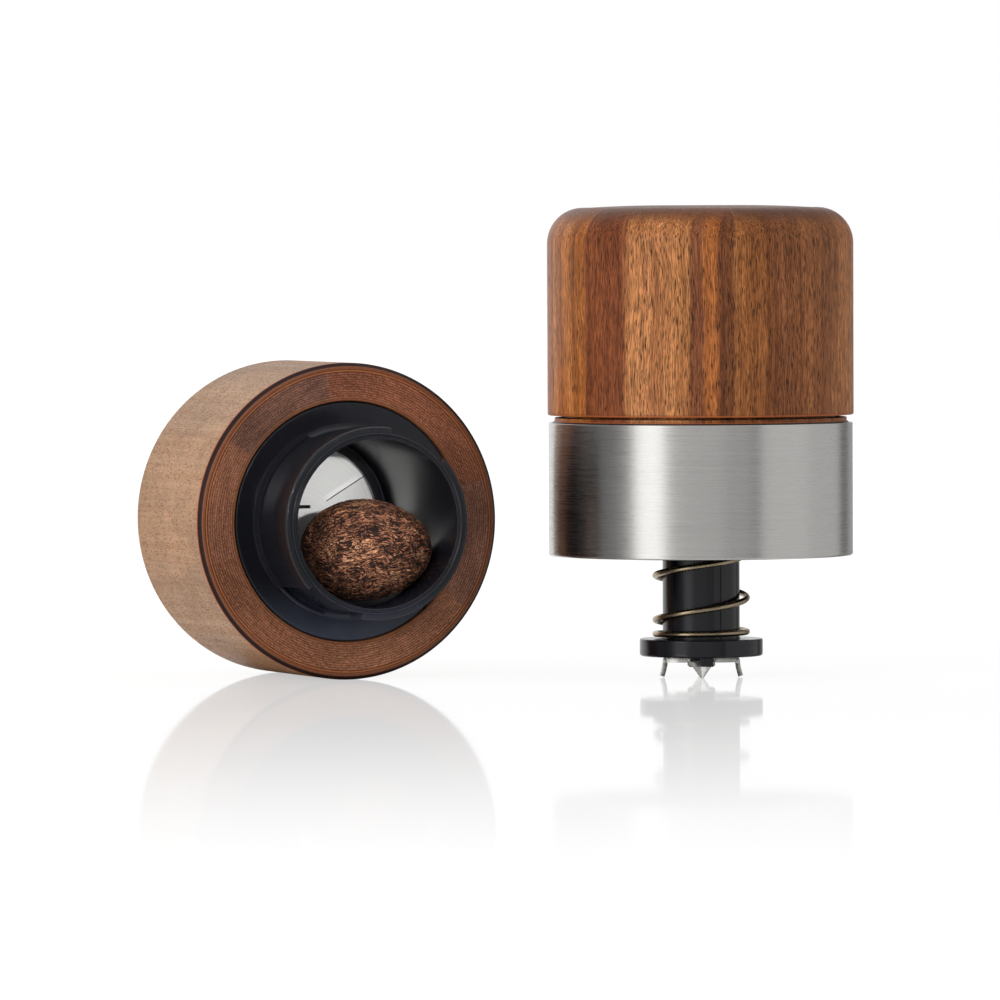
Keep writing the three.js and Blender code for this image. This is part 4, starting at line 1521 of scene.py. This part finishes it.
    def build(self) -> None:
        """Builds and dresses the base half's pieces."""
        wood = to_object("base_cup", self.turn_wood(), self.place)
        hand_over(wood, Body.BASE, Slot.BASE_WOOD, "base_wood", self.wood())
        # The liner's paler, bluer lower side is a painted sheen of light.
        finish = SatinMoulding("liner_black", (21, 22, 29), 0.22, painted_sheen_tone=(55, 59, 75))
        black = finish.build(self.place)
        liner = to_object("bayonet_liner", self.mould_liner(), self.place)
        hand_over(liner, Body.BASE, Slot.MOULDING, "chamber_liner", black)
        bright = Steel(
            "disc_steel", (240, 239, 236), 0.42, Brushing.DISC, line=0.2, contrast=1.2, metal=0.8
        )
        disc = self.press_disc()
        plate = bright.build(self.place)
        hand_over(disc, Body.BASE, Slot.BRIGHT, "grating_disc", plate, black)
        dress("disc_retainer", black)
        screws = Steel("screw_steel", (190, 188, 182), 0.28).build(self.place)
        for i in range(1, 4):
            dress(f"disc_screw_{i}", screws)


@dataclass
class Nutmeg:
    """The seed in the mouth of the chamber, its long axis level."""

    place: Matrix
    length: float = 26.4
    width: float = 19.8
    aside: float = 2.0
    below: float = 5.4
    level: float = 43.5
    relief: float = 0.34
    fineness: int = 6
    furrow_seed: int = 7

    def carve_skin(self) -> bpy.types.Object:
        """Shapes the seed and its furrows, and keeps their height for the skin's colour.

        Returns:
            The placed seed.
        """
        noise.seed_set(self.furrow_seed)
        work = Workpiece()
        bmesh.ops.create_icosphere(work.mesh, subdivisions=self.fineness + 1, radius=1)
        layer = work.mesh.verts.layers.float.new("relief")
        centre = Vector((self.aside, -self.below, self.level))
        half = Vector((self.length, self.width, self.width)) / 2
        for vert in work.mesh.verts:
            unit = vert.co.copy()
            slim = 1 - 0.07 * unit.x
            body = Vector((unit.x * half.x, unit.y * half.y * slim, unit.z * half.z * slim))
            bend = noise.noise_vector(body / 4.5) * 0.9
            long = Vector((body.x / 3.4, body.y / 1.15, body.z / 1.15)) + bend
            short = Vector((body.x / 1.3, body.y / 0.42, body.z / 0.42)) + bend * 2
            furrow = 1 - abs(noise.noise(long)) * 2.2
            small = 1 - abs(noise.noise(short)) * 2
            height = 0.5 * furrow + 0.3 * small + 0.2 * noise.noise(body / 6.0)
            normal = Vector((unit.x / half.x, unit.y / half.y, unit.z / half.z)).normalized()
            vert.co = centre + body + normal * (self.relief * (height - 0.75))
            vert[layer] = max(0.0, min(1.0, 0.5 + 0.8 * (height - 0.45)))
        return to_object("nutmeg_seed", work, self.place)

    def build(self) -> None:
        """Builds and dresses the seed."""
        seed = self.carve_skin()
        skin = NutmegSkin("nutmeg_skin").build(self.place)
        hand_over(seed, Body.NUTMEG, Slot.NUTMEG, "nutmeg", skin)


# Upper half


@dataclass
class SleeveUnit:
    """The brushed band and the black core inside it."""

    place: Matrix
    band_radius: float
    bottom: float = 23.9
    top: float = 49.95
    wall: float = 0.6
    lip_radius: float = 28.2
    lip_thickness: float = 0.8
    lip_round: float = 0.45
    core_bottom: float = 25.0
    core_top: float = 50.2
    core_radius: float = 28.9
    rim_radius: float = 28.68
    shoulder: float = 47.7
    skirt_radius: float = 26.9
    floor_top: float = 27.0
    socket_outer: float = 21.0
    socket: float = 19.2
    web_top: float = 44.9
    web_bottom: float = 42.4
    web_hole: float = 13.3
    tab_inner: float = 17.9
    tab_bottom: float = 26.2
    tab_top: float = 32.8
    tab_degrees: float = 32.0
    tab_root: float = 0.9
    rib_count: int = 12
    rib_thickness: float = 1.2

    def roll_band(self) -> Workpiece:
        """Rolls the band, with its lower edge turned in.

        Returns:
            The workpiece.
        """
        corners = (
            (self.lip_radius, self.bottom, 0.2),
            (self.band_radius, self.bottom, self.lip_round),
            (self.band_radius, self.top, 0.12),
            (self.band_radius - self.wall, self.top, 0.12),
            (self.band_radius - self.wall, self.bottom + self.lip_thickness, 0.2),
            (self.lip_radius, self.bottom + self.lip_thickness, 0.2),
        )
        return Workpiece().turn(corners, steps=2 * INNER_STEPS).lay_round()

    def mould_core(self) -> Workpiece:
        """Moulds the core with its socket, tabs and ribs.

        Returns:
            The workpiece.
        """
        work = Workpiece()
        corners = (
            (self.socket, self.core_bottom, 0.4),
            (self.core_radius, self.core_bottom, 0.2),
            (self.core_radius, self.core_top, 0.1),
            (self.rim_radius, self.core_top, 0.1),
            (self.rim_radius, self.shoulder),
            (self.skirt_radius, self.shoulder),
            (self.skirt_radius, self.floor_top, 0.3),
            (self.socket_outer, self.floor_top, 0.3),
            (self.socket_outer, self.web_top, 0.2),
            (self.web_hole, self.web_top, 0.2),
            (self.web_hole, self.web_bottom, 0.2),
            (self.socket, self.web_bottom, 0.4),
        )
        work.turn(corners)
        for i in range(2):
            tab = (
                (self.tab_inner, self.tab_bottom, 0.35),
                (self.socket + self.tab_root, self.tab_bottom),
                (self.socket + self.tab_root, self.tab_top),
                (self.tab_inner, self.tab_top, 0.35),
            )
            middle = 180 * i
            work.sweep(tab, middle - self.tab_degrees / 2, middle + self.tab_degrees / 2, 0.2)
        inner = self.socket_outer - self.tab_root
        reach = self.skirt_radius + 1 - inner
        size = Vector((reach, self.rib_thickness, self.web_top - self.floor_top + 1))
        centre = Vector((inner + reach / 2, 0, (self.web_top + self.floor_top - 1) / 2))
        for i in range(self.rib_count):
            work.block(size, centre, 360 * (i + 0.5) / self.rib_count, 0.1)
        return work

    def build(self) -> None:
        """Builds and dresses the sleeve's pieces."""
        finish = Steel(
            "band_steel", (212, 210, 207), 0.29, Brushing.AROUND, stretch=0.62, line=0.07
        )
        steel = finish.build(self.place)
        band = to_object("steel_band", self.roll_band(), self.place)
        hand_over(band, Body.SLEEVE, Slot.BRUSHED, "steel_sleeve", steel)
        black = SatinMoulding("core_black").build(self.place)
        core = to_object("band_core", self.mould_core(), self.place)
        hand_over(core, Body.SLEEVE, Slot.MOULDING, "sleeve_core", black)
        dress("glide_ring", Nylon("glide_nylon").build(self.place))


@dataclass
class CapUnit:
    """The turned cap with its hub."""

    place: Matrix
    radius: float
    bottom: float = 51.4
    top: float = 92.398
    top_round: float = 7.0
    crown: float = 0.5
    flat_radius: float = 8.0
    edge_round: float = 0.35
    spigot_radius: float = 28.6
    spigot_top: float = 50.95
    spigot_bottom: float = 48.0
    neck_radius: float = 26.2
    recess_radius: float = 20.3
    recess_level: float = 49.6
    bore_radius: float = 11.3
    bore_top: float = 76.1

    def wood(self) -> bpy.types.Material:
        """The striped reddish wood of the cap.

        Returns:
            The material.
        """
        tan, red, brown = (204, 137, 84), (180, 110, 60), (172, 115, 70)
        dark = (112, 66, 40)
        staves = (
            Stave(40, brown, dark, 0.7),
            Stave(96, red, dark, 0.65),
            Stave(160, (190, 118, 64), (124, 72, 42), 0.5),
            Stave(220.7, tan, dark, 0.95),
            Stave(283, (176, 113, 66), dark, 1.0),
            Stave(352, (190, 118, 64), dark, 0.85),
        )
        stripes = (
            (200, (1.0, 1.0, 1.0)), (212, (0.98, 1.0, 0.98)), (219.6, (1.08, 1.0, 0.74)),
            (220.4, (0.5, 0.36, 0.34)), (232, (0.46, 0.32, 0.32)), (238.5, (0.48, 0.34, 0.34)),
            (241.5, (0.98, 0.98, 0.96)), (252, (1.02, 1.0, 1.0)), (264, (0.96, 0.96, 0.94)),
            (266.2, (0.44, 0.36, 0.44)), (269.6, (0.48, 0.4, 0.42)), (270.6, (0.7, 0.56, 0.42)),
            (274.2, (0.74, 0.58, 0.42)), (276.0, (0.3, 0.24, 0.28)), (280, (0.42, 0.36, 0.36)),
            (283.4, (0.92, 0.88, 0.8)), (293, (0.94, 0.9, 0.84)), (297, (0.74, 0.68, 0.68)),
            (302, (0.6, 0.54, 0.56)), (307, (0.8, 0.76, 0.76)), (323, (0.84, 0.8, 0.78)),
            (326.5, (0.84, 0.8, 0.78)), (329.5, (0.98, 0.98, 0.94)), (346, (1.12, 1.14, 1.1)),
        )
        finish = GluedWood(
            name="cap_wood",
            staves=staves,
            outer_radius=self.radius + 0.2,
            pore_size=(0.32, 0.32, 2.9),
            pore_depth=0.9,
            pore_tone=(38, 18, 12),
            hair_depth=0.75,
            fibre_size=(0.15, 0.3, 2.6),
            fibre=0.44,
            streak=1.3,
            stripes=stripes,
            ragged=0.014,
            joint_tone=(176, 118, 74),
            joint_width=0.26,
            joint_share=0.35,
            edge_lines=(
                (21.3, (196, 104, 54), 0.0), (21.5, (196, 104, 54), 0.75),
                (21.72, (196, 104, 54), 0.7), (21.9, (84, 46, 32), 0.3), (22.1, (84, 46, 32), 0.0),
            ),
            groove_share=0.3,
            wave=0.45,
            roughness=0.4,
            oil=0.04,
        )
        return finish.build(self.place)

    def turn_wood(self) -> Workpiece:
        """Turns the cap with its spigot, recess and stepped bore.

        Returns:
            The workpiece.
        """
        corners = (
            (0, self.bore_top),
            (self.bore_radius, self.bore_top),
            (self.bore_radius, self.recess_level),
            (self.recess_radius, self.recess_level),
            (self.recess_radius, self.spigot_bottom),
            (self.spigot_radius, self.spigot_bottom, 0.3),
            (self.spigot_radius, self.spigot_top, 0.12),
            (self.neck_radius, self.spigot_top),
            (self.neck_radius, self.bottom),
            (self.radius, self.bottom, self.edge_round),
            (self.radius, self.top - self.crown, self.top_round),
            *self._crown(),
            (0, self.top),
        )
        return Workpiece().turn(corners, steps=2 * INNER_STEPS)

    def _crown(self) -> list[Corner]:
        """The slight crown from the shoulder in to the flat middle of the top.

        Returns:
            The crown's corners, from the shoulder in.
        """
        reach = self.radius - self.top_round - self.flat_radius
        corners = []
        for share in (0.9, 0.75, 0.6, 0.45, 0.3, 0.15, 0.0):
            level = self.top - self.crown * share * share
            corners.append((self.flat_radius + reach * share, level))
        return corners

    def build(self) -> None:
        """Builds and dresses the cap's pieces."""
        wood = to_object("turned_cap", self.turn_wood(), self.place)
        hand_over(wood, Body.CAP, Slot.CAP_WOOD, "cap_wood", self.wood())
        dress("cap_hub", SatinMoulding("hub_black").build(self.place))
        screws = Steel("hub_screw_steel", (186, 184, 180), 0.3).build(self.place)
        for i in range(1, 4):
            dress(f"hub_screw_{i}", screws)
        dress("hub_circlip", Steel("clip_steel", (120, 118, 114), 0.35).build(self.place))


@dataclass
class PlungerUnit:
    """The sprung plunger: keyed shaft, plate, toothed star, screws and spring."""

    place: Matrix
    shaft_radius: float = 7.55
    shaft_bottom: float = 6.9
    shaft_top: float = 44.2
    key_angles: tuple[float, float] = (-66.0, 114.0)
    key_width: float = 1.8
    key_depth: float = 0.24
    key_flare: float = 1.9
    plate_radius: float = 12.05
    plate_bottom: float = 4.2
    plate_top: float = 7.6
    plate_hole: float = 1.6
    seat_radius: float = 7.85
    seat_level: float = 6.6
    lug_width: float = 2.6
    lug_aside: float = 0.86
    lug_thickness: float = 1.2
    lug_height: float = 1.8
    lug_drop: float = 0.65
    tooth_front: float = 8.3
    star_drop: float = 3.3
    star_top: float = 3.9
    star_sheet: float = 0.6
    star_hole: float = 1.3
    prong_sheet: float = 0.98
    prong_tip: float = 0.36
    tooth_tip: float = 0.18
    arm_width: float = 4.7
    arm_root: float = 2.4
    arm_end: float = 4.4
    waist: float = 5.6
    waist_half: float = 1.9
    prong_half: float = 1.55
    prong_leg: float = 1.5
    prong_taper: float = 1.15
    prong_set_back: float = 0.35
    tooth_half: float = 0.16
    bend_radius: float = 0.6
    prong_radius: float = 7.3
    prong_splay: float = 0.62
    tooth_fold: float = -0.3
    crease_aside: float = -0.4
    spring_radius: float = 8.975
    wire: float = 1.2
    spring_turns: float = 5.05
    closed_turns: float = 0.6
    ramp_turns: float = 0.5
    closed_pitch: float = 0.8
    spring_start: float = 144.0
    spring_bottom: float = 8.425
    spring_top: float = 38.875
    seat_top: float = 39.33
    travel: float = 24.0
    steps_per_turn: int = 56

    def turn_shaft(self) -> bpy.types.Object:
        """Turns the shaft and cuts its key grooves.

        Returns:
            The placed shaft.
        """
        corners = (
            (0, self.shaft_bottom),
            (self.shaft_radius, self.shaft_bottom, 0.2),
            (self.shaft_radius, self.shaft_top, 0.4),
            (0, self.shaft_top),
        )
        shaft = to_object("keyed_shaft", Workpiece().turn(corners, INNER_STEPS), self.place)
        grooves = Workpiece()
        size = Vector((2, self.key_width * 0.8, self.shaft_top - self.plate_top + 2))
        middle = self.shaft_radius - self.key_depth + 1
        for angle in self.key_angles:
            centre = Vector((middle, 0, self.plate_top + size.z / 2))
            grooves.block(size, centre, angle, 0, self.key_flare)
        return carve(shaft, grooves, self.place)

    def mould_plate(self) -> Workpiece:
        """Moulds the plate with the seat for the shaft and its two lugs.

        Returns:
            The workpiece.
        """
        work = Workpiece()
        corners = (
            (self.plate_hole, self.plate_bottom),
            (self.plate_radius, self.plate_bottom, 0.5),
            (self.plate_radius, self.plate_top, 0.28),
            (self.seat_radius, self.plate_top, 0.12),
            (self.seat_radius, self.seat_level),
            (self.plate_hole, self.seat_level),
        )
        work.turn(corners, steps=INNER_STEPS)
        size = Vector((self.lug_thickness, self.lug_width, self.lug_height + 0.5))
        middle = self.tooth_front + self.lug_thickness / 2
        for angle in (-90, 90):
            centre = Vector((middle, self.lug_aside, self.plate_bottom - self.lug_drop))
            work.block(size, centre, angle, 0.24)
        return work

    def bend_star(self) -> Workpiece:
        """Bends the star from one sheet: two slim prongs, and two teeth folded down the middle.

        Returns:
            The workpiece.
        """
        top, drop, out = self.star_top, self.star_drop, self.prong_radius + self.star_sheet
        half, bend = self.arm_width / 2, self.bend_radius
        low = top - bend
        work = Workpiece()
        corners = (
            (self.star_hole, drop + 0.01),
            (half * math.sqrt(2), drop + 0.01),
            (half * math.sqrt(2), top - 0.01),
            (self.star_hole, top - 0.01),
        )
        work.turn(corners, steps=40)
        for angle in (0.0, 180.0):
            stations = [Station(radius, top, half) for radius in (self.arm_root, self.arm_end)]
            stations.append(Station(self.waist, top, self.waist_half))
            for degrees in (0, 22, 45, 68, 90):
                turn = math.radians(degrees)
                radius = out - self.prong_set_back - bend + bend * math.sin(turn)
                level = top - bend + bend * math.cos(turn)
                stations.append(Station(radius, level, self.prong_half))
            for share in (0.2, 0.4, 0.6, 0.8, 0.95, 1.0):
                radius = out - self.prong_set_back + self.prong_splay * share**1.6
                level = low * (1 - share) + self.prong_tip * share
                stations.append(Station(radius, level, self.prong_leg - self.prong_taper * share))
            work.bend_strip(stations, self.prong_sheet, angle)
        for angle in (-90.0, 90.0):
            stations = [Station(radius, top, half) for radius in (self.arm_root, out - bend)]
            for degrees in (30, 60, 90):
                turn = math.radians(degrees)
                share = degrees / 90
                radius = out - bend + bend * math.sin(turn)
                level = top - bend + bend * math.cos(turn)
                fold = self.tooth_fold * half * share
                stations.append(Station(radius, level, half, fold, self.crease_aside * share))
            for share in (0.2, 0.4, 0.6, 0.8, 0.92, 1.0):
                width = half + (self.tooth_half - half) * share
                fold = self.tooth_fold * width
                crease = self.crease_aside * (1 - share)
                level = low * (1 - share) + self.tooth_tip * share
                stations.append(Station(out, level, width, fold, crease))
            work.bend_strip(stations, self.star_sheet, angle)
        return work

    def _eased(self, turns: float) -> float:
        """Turns counted at full pitch, with the closed end and the ramp after it taken off.

        Args:
            turns: turns from the spring's lower end.

        Returns:
            The turns that count.
        """
        past = turns - self.closed_turns
        if past <= 0:
            return 0.0
        if past < self.ramp_turns:
            return past * past / (2 * self.ramp_turns)
        return past - self.ramp_turns / 2

    def _height(self, turns: float) -> float:
        """The level of the spring's wire after so many turns.

        Args:
            turns: turns from the spring's lower end.

        Returns:
            The level.
        """
        rise = self.spring_top - self.spring_bottom
        open_turns = 2 * self._eased(self.spring_turns) - self.spring_turns
        extra = (rise - self.closed_pitch * self.spring_turns) / open_turns
        eased = self._eased(turns) + self._eased(self.spring_turns)
        opened = eased - self._eased(self.spring_turns - turns) - turns
        return self.spring_bottom + self.closed_pitch * turns + extra * opened

    def wind_spring(self) -> bpy.types.Object:
        """Winds the spring as a wire along its coil and makes it a mesh.

        Returns:
            The placed spring.
        """
        count = round(self.spring_turns * self.steps_per_turn)
        wire = bpy.data.curves.new("wire", "CURVE")
        wire.dimensions = "3D"
        wire.bevel_depth = self.wire / 2 * MM
        wire.bevel_resolution = 3
        wire.use_fill_caps = True
        line = wire.splines.new("POLY")
        line.points.add(count)
        for i, point in enumerate(line.points):
            turns = self.spring_turns * i / count
            angle = math.radians(self.spring_start) + FULL_TURN * turns
            spot = Vector((self.spring_radius, 0, self._height(turns)))
            spot.rotate(Matrix.Rotation(angle, 3, "Z"))
            point.co = (*((self.place @ spot) * MM), 1)
        holder = bpy.data.objects.new("wire", wire)
        bpy.context.scene.collection.objects.link(holder)
        bpy.context.view_layer.update()
        shape = holder.evaluated_get(bpy.context.evaluated_depsgraph_get())
        mesh = bpy.data.meshes.new_from_object(shape)
        bpy.data.objects.remove(holder)
        bpy.data.curves.remove(wire)
        mesh.name = "coil_spring"
        for polygon in mesh.polygons:
            polygon.use_smooth = True
        spring = bpy.data.objects.new("coil_spring", mesh)
        bpy.context.scene.collection.objects.link(spring)
        return spring

    def build(self) -> None:
        """Builds and dresses the plunger's pieces."""
        black = SatinMoulding("plunger_black", tone=(15, 16, 23), roughness=0.18).build(self.place)
        shaft = self.turn_shaft()
        hand_over(shaft, Body.PLUNGER, Slot.MOULDING, "plunger_shaft", black)
        plate = to_object("press_plate", self.mould_plate(), self.place)
        hand_over(plate, Body.PLUNGER, Slot.MOULDING, "pressure_plate", black)
        bright = Steel("star_steel", (228, 225, 220), 0.27, metal=0.85).build(self.place)
        star = to_object("toothed_star", self.bend_star(), self.place)
        hand_over(star, Body.PLUNGER, Slot.BRIGHT, "prong_star", bright)
        screws = Steel("plunger_screw_steel", (188, 186, 182), 0.3).build(self.place)
        for node in ("plate_screw", "stop_washer", "stop_screw"):
            dress(node, screws)
        wire = Steel("spring_wire", (166, 150, 124), 0.24).build(self.place)
        spring = self.wind_spring()
        hand_over(spring, Body.CAP, Slot.SPRING, "spring", wire)
        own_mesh(spring)


# Studio


@dataclass(frozen=True)
class Lamp:
    """A lamp: where it stands, its size and its share of the light.

    It faces the object, or the place it is aimed at. With a cone it is a spot, and without one a
    softbox. Gloss mirrors it only where that is said.
    """

    name: str
    place: tuple[float, float, float]
    size: tuple[float, float]
    share: float
    aim: tuple[float, float, float] = (0.0, 0.0, 0.045)
    cone_degrees: float = 0.0
    glossy: bool = False


@dataclass
class Studio:
    """Table, surroundings, lamps and camera."""

    camera_place: tuple[float, float, float] = (1.37, -1904.69, 92.4)
    camera_pitch: float = 1.736
    camera_roll: float = 0.2
    lens: float = 349.41
    table_size: float = 14.0
    table_white: float = 0.8
    table_seen: float = 0.3
    mirror_share: float = 0.39
    mirror_in_gloss: float = 0.8
    mirror_to: float = 610.0
    mirror_squeeze: float = 0.35
    table_gloss: float = 0.04
    glow: tuple[float, float] = (0.845, 1.0)
    glow_centre: float = -350.0
    glow_squeeze: float = 0.6
    glow_reach: tuple[float, float] = (200.0, 900.0)
    soft: tuple[float, float] = (0.64, 0.2)
    spot_blend: float = 0.6
    ceiling: float = 0.9
    ceiling_from: tuple[float, float] = (0.55, 0.8)
    panels: tuple[tuple[float, float], ...] = (
        (-180, 1.0), (-150, 1.1), (-134, 1.05), (-126, 0.8), (-108, 0.56), (-100, 0.36),
        (-90, 0.18), (-78, 0.12), (-69, 0.14), (-60, 0.3), (-52, 0.6), (-40, 0.66), (-26, 0.68),
        (-18, 0.54), (14, 0.52), (19, 0.42), (38.5, 0.41), (40, 0.12), (43.4, 0.12), (45.5, 0.66),
        (84, 0.66), (92, 0.57), (128, 0.55), (132, 0.14), (146, 0.14), (149, 0.38), (168, 0.42),
        (174, 1.0), (180, 1.0),
    )
    lamps: tuple[Lamp, ...] = (
        Lamp("overhead", (-0.15, 0.1, 1.15), (1.0, 1.0), 0.04),
        Lamp("left_front", (-0.785, -0.97, 0.42), (0.56, 0.7), 0.11, glossy=True),
        Lamp("left_fill", (-0.81, -0.94, 0.32), (0.8, 0.8), 0.37),
        Lamp("right", (1.05, -0.35, 0.35), (0.6, 0.9), 0.15),
        Lamp(
            "snoot",
            (0.257, -1.151, 0.171),
            (0.03, 0.03),
            0.86,
            (-0.0331, 0.013, 0.037),
            cone_degrees=1.4,
            glossy=True,
        ),
    )

    def lay_table(self) -> None:
        """Lays a white glossy table that mirrors the object near its foot."""
        bench = bmesh.new()
        bmesh.ops.create_grid(bench, x_segments=1, y_segments=1, size=self.table_size / 2)
        mesh = bpy.data.meshes.new("table")
        bench.to_mesh(mesh)
        bench.free()
        table = bpy.data.objects.new("table", mesh)
        bpy.context.scene.collection.objects.link(table)
        shade = Shade("table_white", Matrix.Identity(4))
        x, y, _ = shade.split(shade.local)
        reach = shade.length(shade.times(x, self.mirror_squeeze), y)
        path = shade.node("ShaderNodeLightPath")
        mirror = shade.remap(reach, 0.0, self.mirror_to, self.mirror_share, 0.0)
        onward = shade.times(path.outputs["Is Glossy Ray"], self.mirror_in_gloss)
        mirror = shade.calc("MAXIMUM", mirror, onward)
        shade.tree.nodes.remove(shade.shader)
        seen = path.outputs["Is Camera Ray"]
        white = shade.mix(seen, tint(self.table_white), tint(self.table_seen))
        matt = shade.node("ShaderNodeBsdfDiffuse", Color=white)
        aside, ahead = shade.times(x, self.glow_squeeze), shade.minus(y, self.glow_centre)
        rise = shade.remap(shade.length(aside, ahead), *self.glow_reach, *self.glow)
        strength = shade.times(seen, rise)
        glow = shade.node("ShaderNodeEmission", Color=tint(1.0), Strength=strength)
        gloss = shade.node("ShaderNodeBsdfGlossy", Color=tint(1.0), Roughness=self.table_gloss)
        lit = shade.node("ShaderNodeAddShader")
        both = shade.node("ShaderNodeMixShader")
        shade.put(both.inputs[0], mirror)
        for shader, first, second in ((lit.inputs, matt, glow), (both.inputs[1:], lit, gloss)):
            shade.put(shader[0], first.outputs[0])
            shade.put(shader[1], second.outputs[0])
        out = shade.tree.nodes["Material Output"]
        shade.put(out.inputs["Surface"], both.outputs[0])
        mesh.materials.append(shade.material)

    def surround(self) -> None:
        """Gives the world its white background, its soft light and what gloss mirrors."""
        world = bpy.data.worlds.new("studio")
        world.use_nodes = True
        bpy.context.scene.world = world
        nodes = Nodes(world.node_tree)
        nodes.tree.nodes.clear()
        x, y, z = nodes.split(nodes.node("ShaderNodeTexCoord").outputs["Generated"])
        turn = nodes.calc("ARCTAN2", x, nodes.times(y, -1.0))
        turn = nodes.plus(nodes.calc("DIVIDE", turn, FULL_TURN), 0.5)
        stops = [(degrees / 360 + 0.5, tint(level)) for degrees, level in self.panels]
        above = nodes.remap(z, *self.ceiling_from, 0.0, 1.0)
        mirrored = nodes.mix(above, nodes.ramp(turn, stops)[0], tint(self.ceiling))
        soft = nodes.remap(z, 0.0, self.ceiling_from[1], *self.soft, "LINEAR")
        path = nodes.node("ShaderNodeLightPath").outputs
        seen = nodes.calc("MAXIMUM", path["Is Camera Ray"], path["Is Transmission Ray"])
        plain = nodes.mix(seen, soft, tint(1.0))
        light = nodes.node("ShaderNodeBackground")
        nodes.put(light.inputs["Color"], nodes.mix(path["Is Glossy Ray"], plain, mirrored))
        out = nodes.node("ShaderNodeOutputWorld")
        nodes.put(out.inputs["Surface"], light.outputs[0])

    def hang_lamps(self) -> None:
        """Hangs the softboxes; a share of 1 lights a white face to white."""
        for lamp in self.lamps:
            place = Vector(lamp.place)
            away = place - Vector(lamp.aim)
            if lamp.cone_degrees > 0:
                data = bpy.data.lights.new(lamp.name, "SPOT")
                data.spot_size = math.radians(lamp.cone_degrees)
                data.spot_blend = self.spot_blend
                data.shadow_soft_size = lamp.size[0] / 2
                data.energy = 4 * math.pi**2 * away.length_squared * lamp.share
            else:
                data = bpy.data.lights.new(lamp.name, "AREA")
                data.shape = "RECTANGLE"
                data.size, data.size_y = lamp.size
                data.energy = math.pi**2 * away.length_squared * lamp.share
            holder = bpy.data.objects.new(lamp.name, data)
            holder.location = place
            holder.rotation_euler = away.to_track_quat("Z", "Y").to_euler()
            holder.visible_glossy = lamp.glossy
            holder.visible_camera = False
            bpy.context.scene.collection.objects.link(holder)

    def set_camera(self) -> None:
        """Sets the camera where the photograph was taken from."""
        data = bpy.data.cameras.new("camera")
        data.sensor_width = 36
        data.lens = self.lens
        data.clip_end = 50
        camera = bpy.data.objects.new("camera", data)
        camera.location = Vector(self.camera_place) * MM
        tilt = math.radians(90 - self.camera_pitch)
        camera.rotation_euler = (tilt, math.radians(self.camera_roll), 0)
        bpy.context.scene.collection.objects.link(camera)
        bpy.context.scene.camera = camera

    def build(self) -> None:
        """Sets up the whole studio."""
        bpy.context.scene.view_settings.view_transform = "Standard"
        self.lay_table()
        self.surround()
        self.hang_lamps()
        self.set_camera()


def main() -> None:
    """Builds the dressed grater, sized from the model's parts."""
    logging.basicConfig(level=logging.INFO, format="%(name)s: %(message)s")
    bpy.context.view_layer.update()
    layout = Layout()
    base, upper = layout.base(), layout.upper()
    low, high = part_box("base_wood")
    cap_low, cap_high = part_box("cap_wood")
    band_low, band_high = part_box("steel_sleeve")
    BaseHalf(base, (high.z - low.z) / 2 / MM).build()
    Nutmeg(base).build()
    SleeveUnit(upper, (band_high.x - band_low.x) / 2 / MM).build()
    CapUnit(upper, (cap_high.x - cap_low.x) / 2 / MM).build()
    PlungerUnit(upper).build()
    Studio().build()
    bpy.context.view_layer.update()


if __name__ == "__main__":
    main()
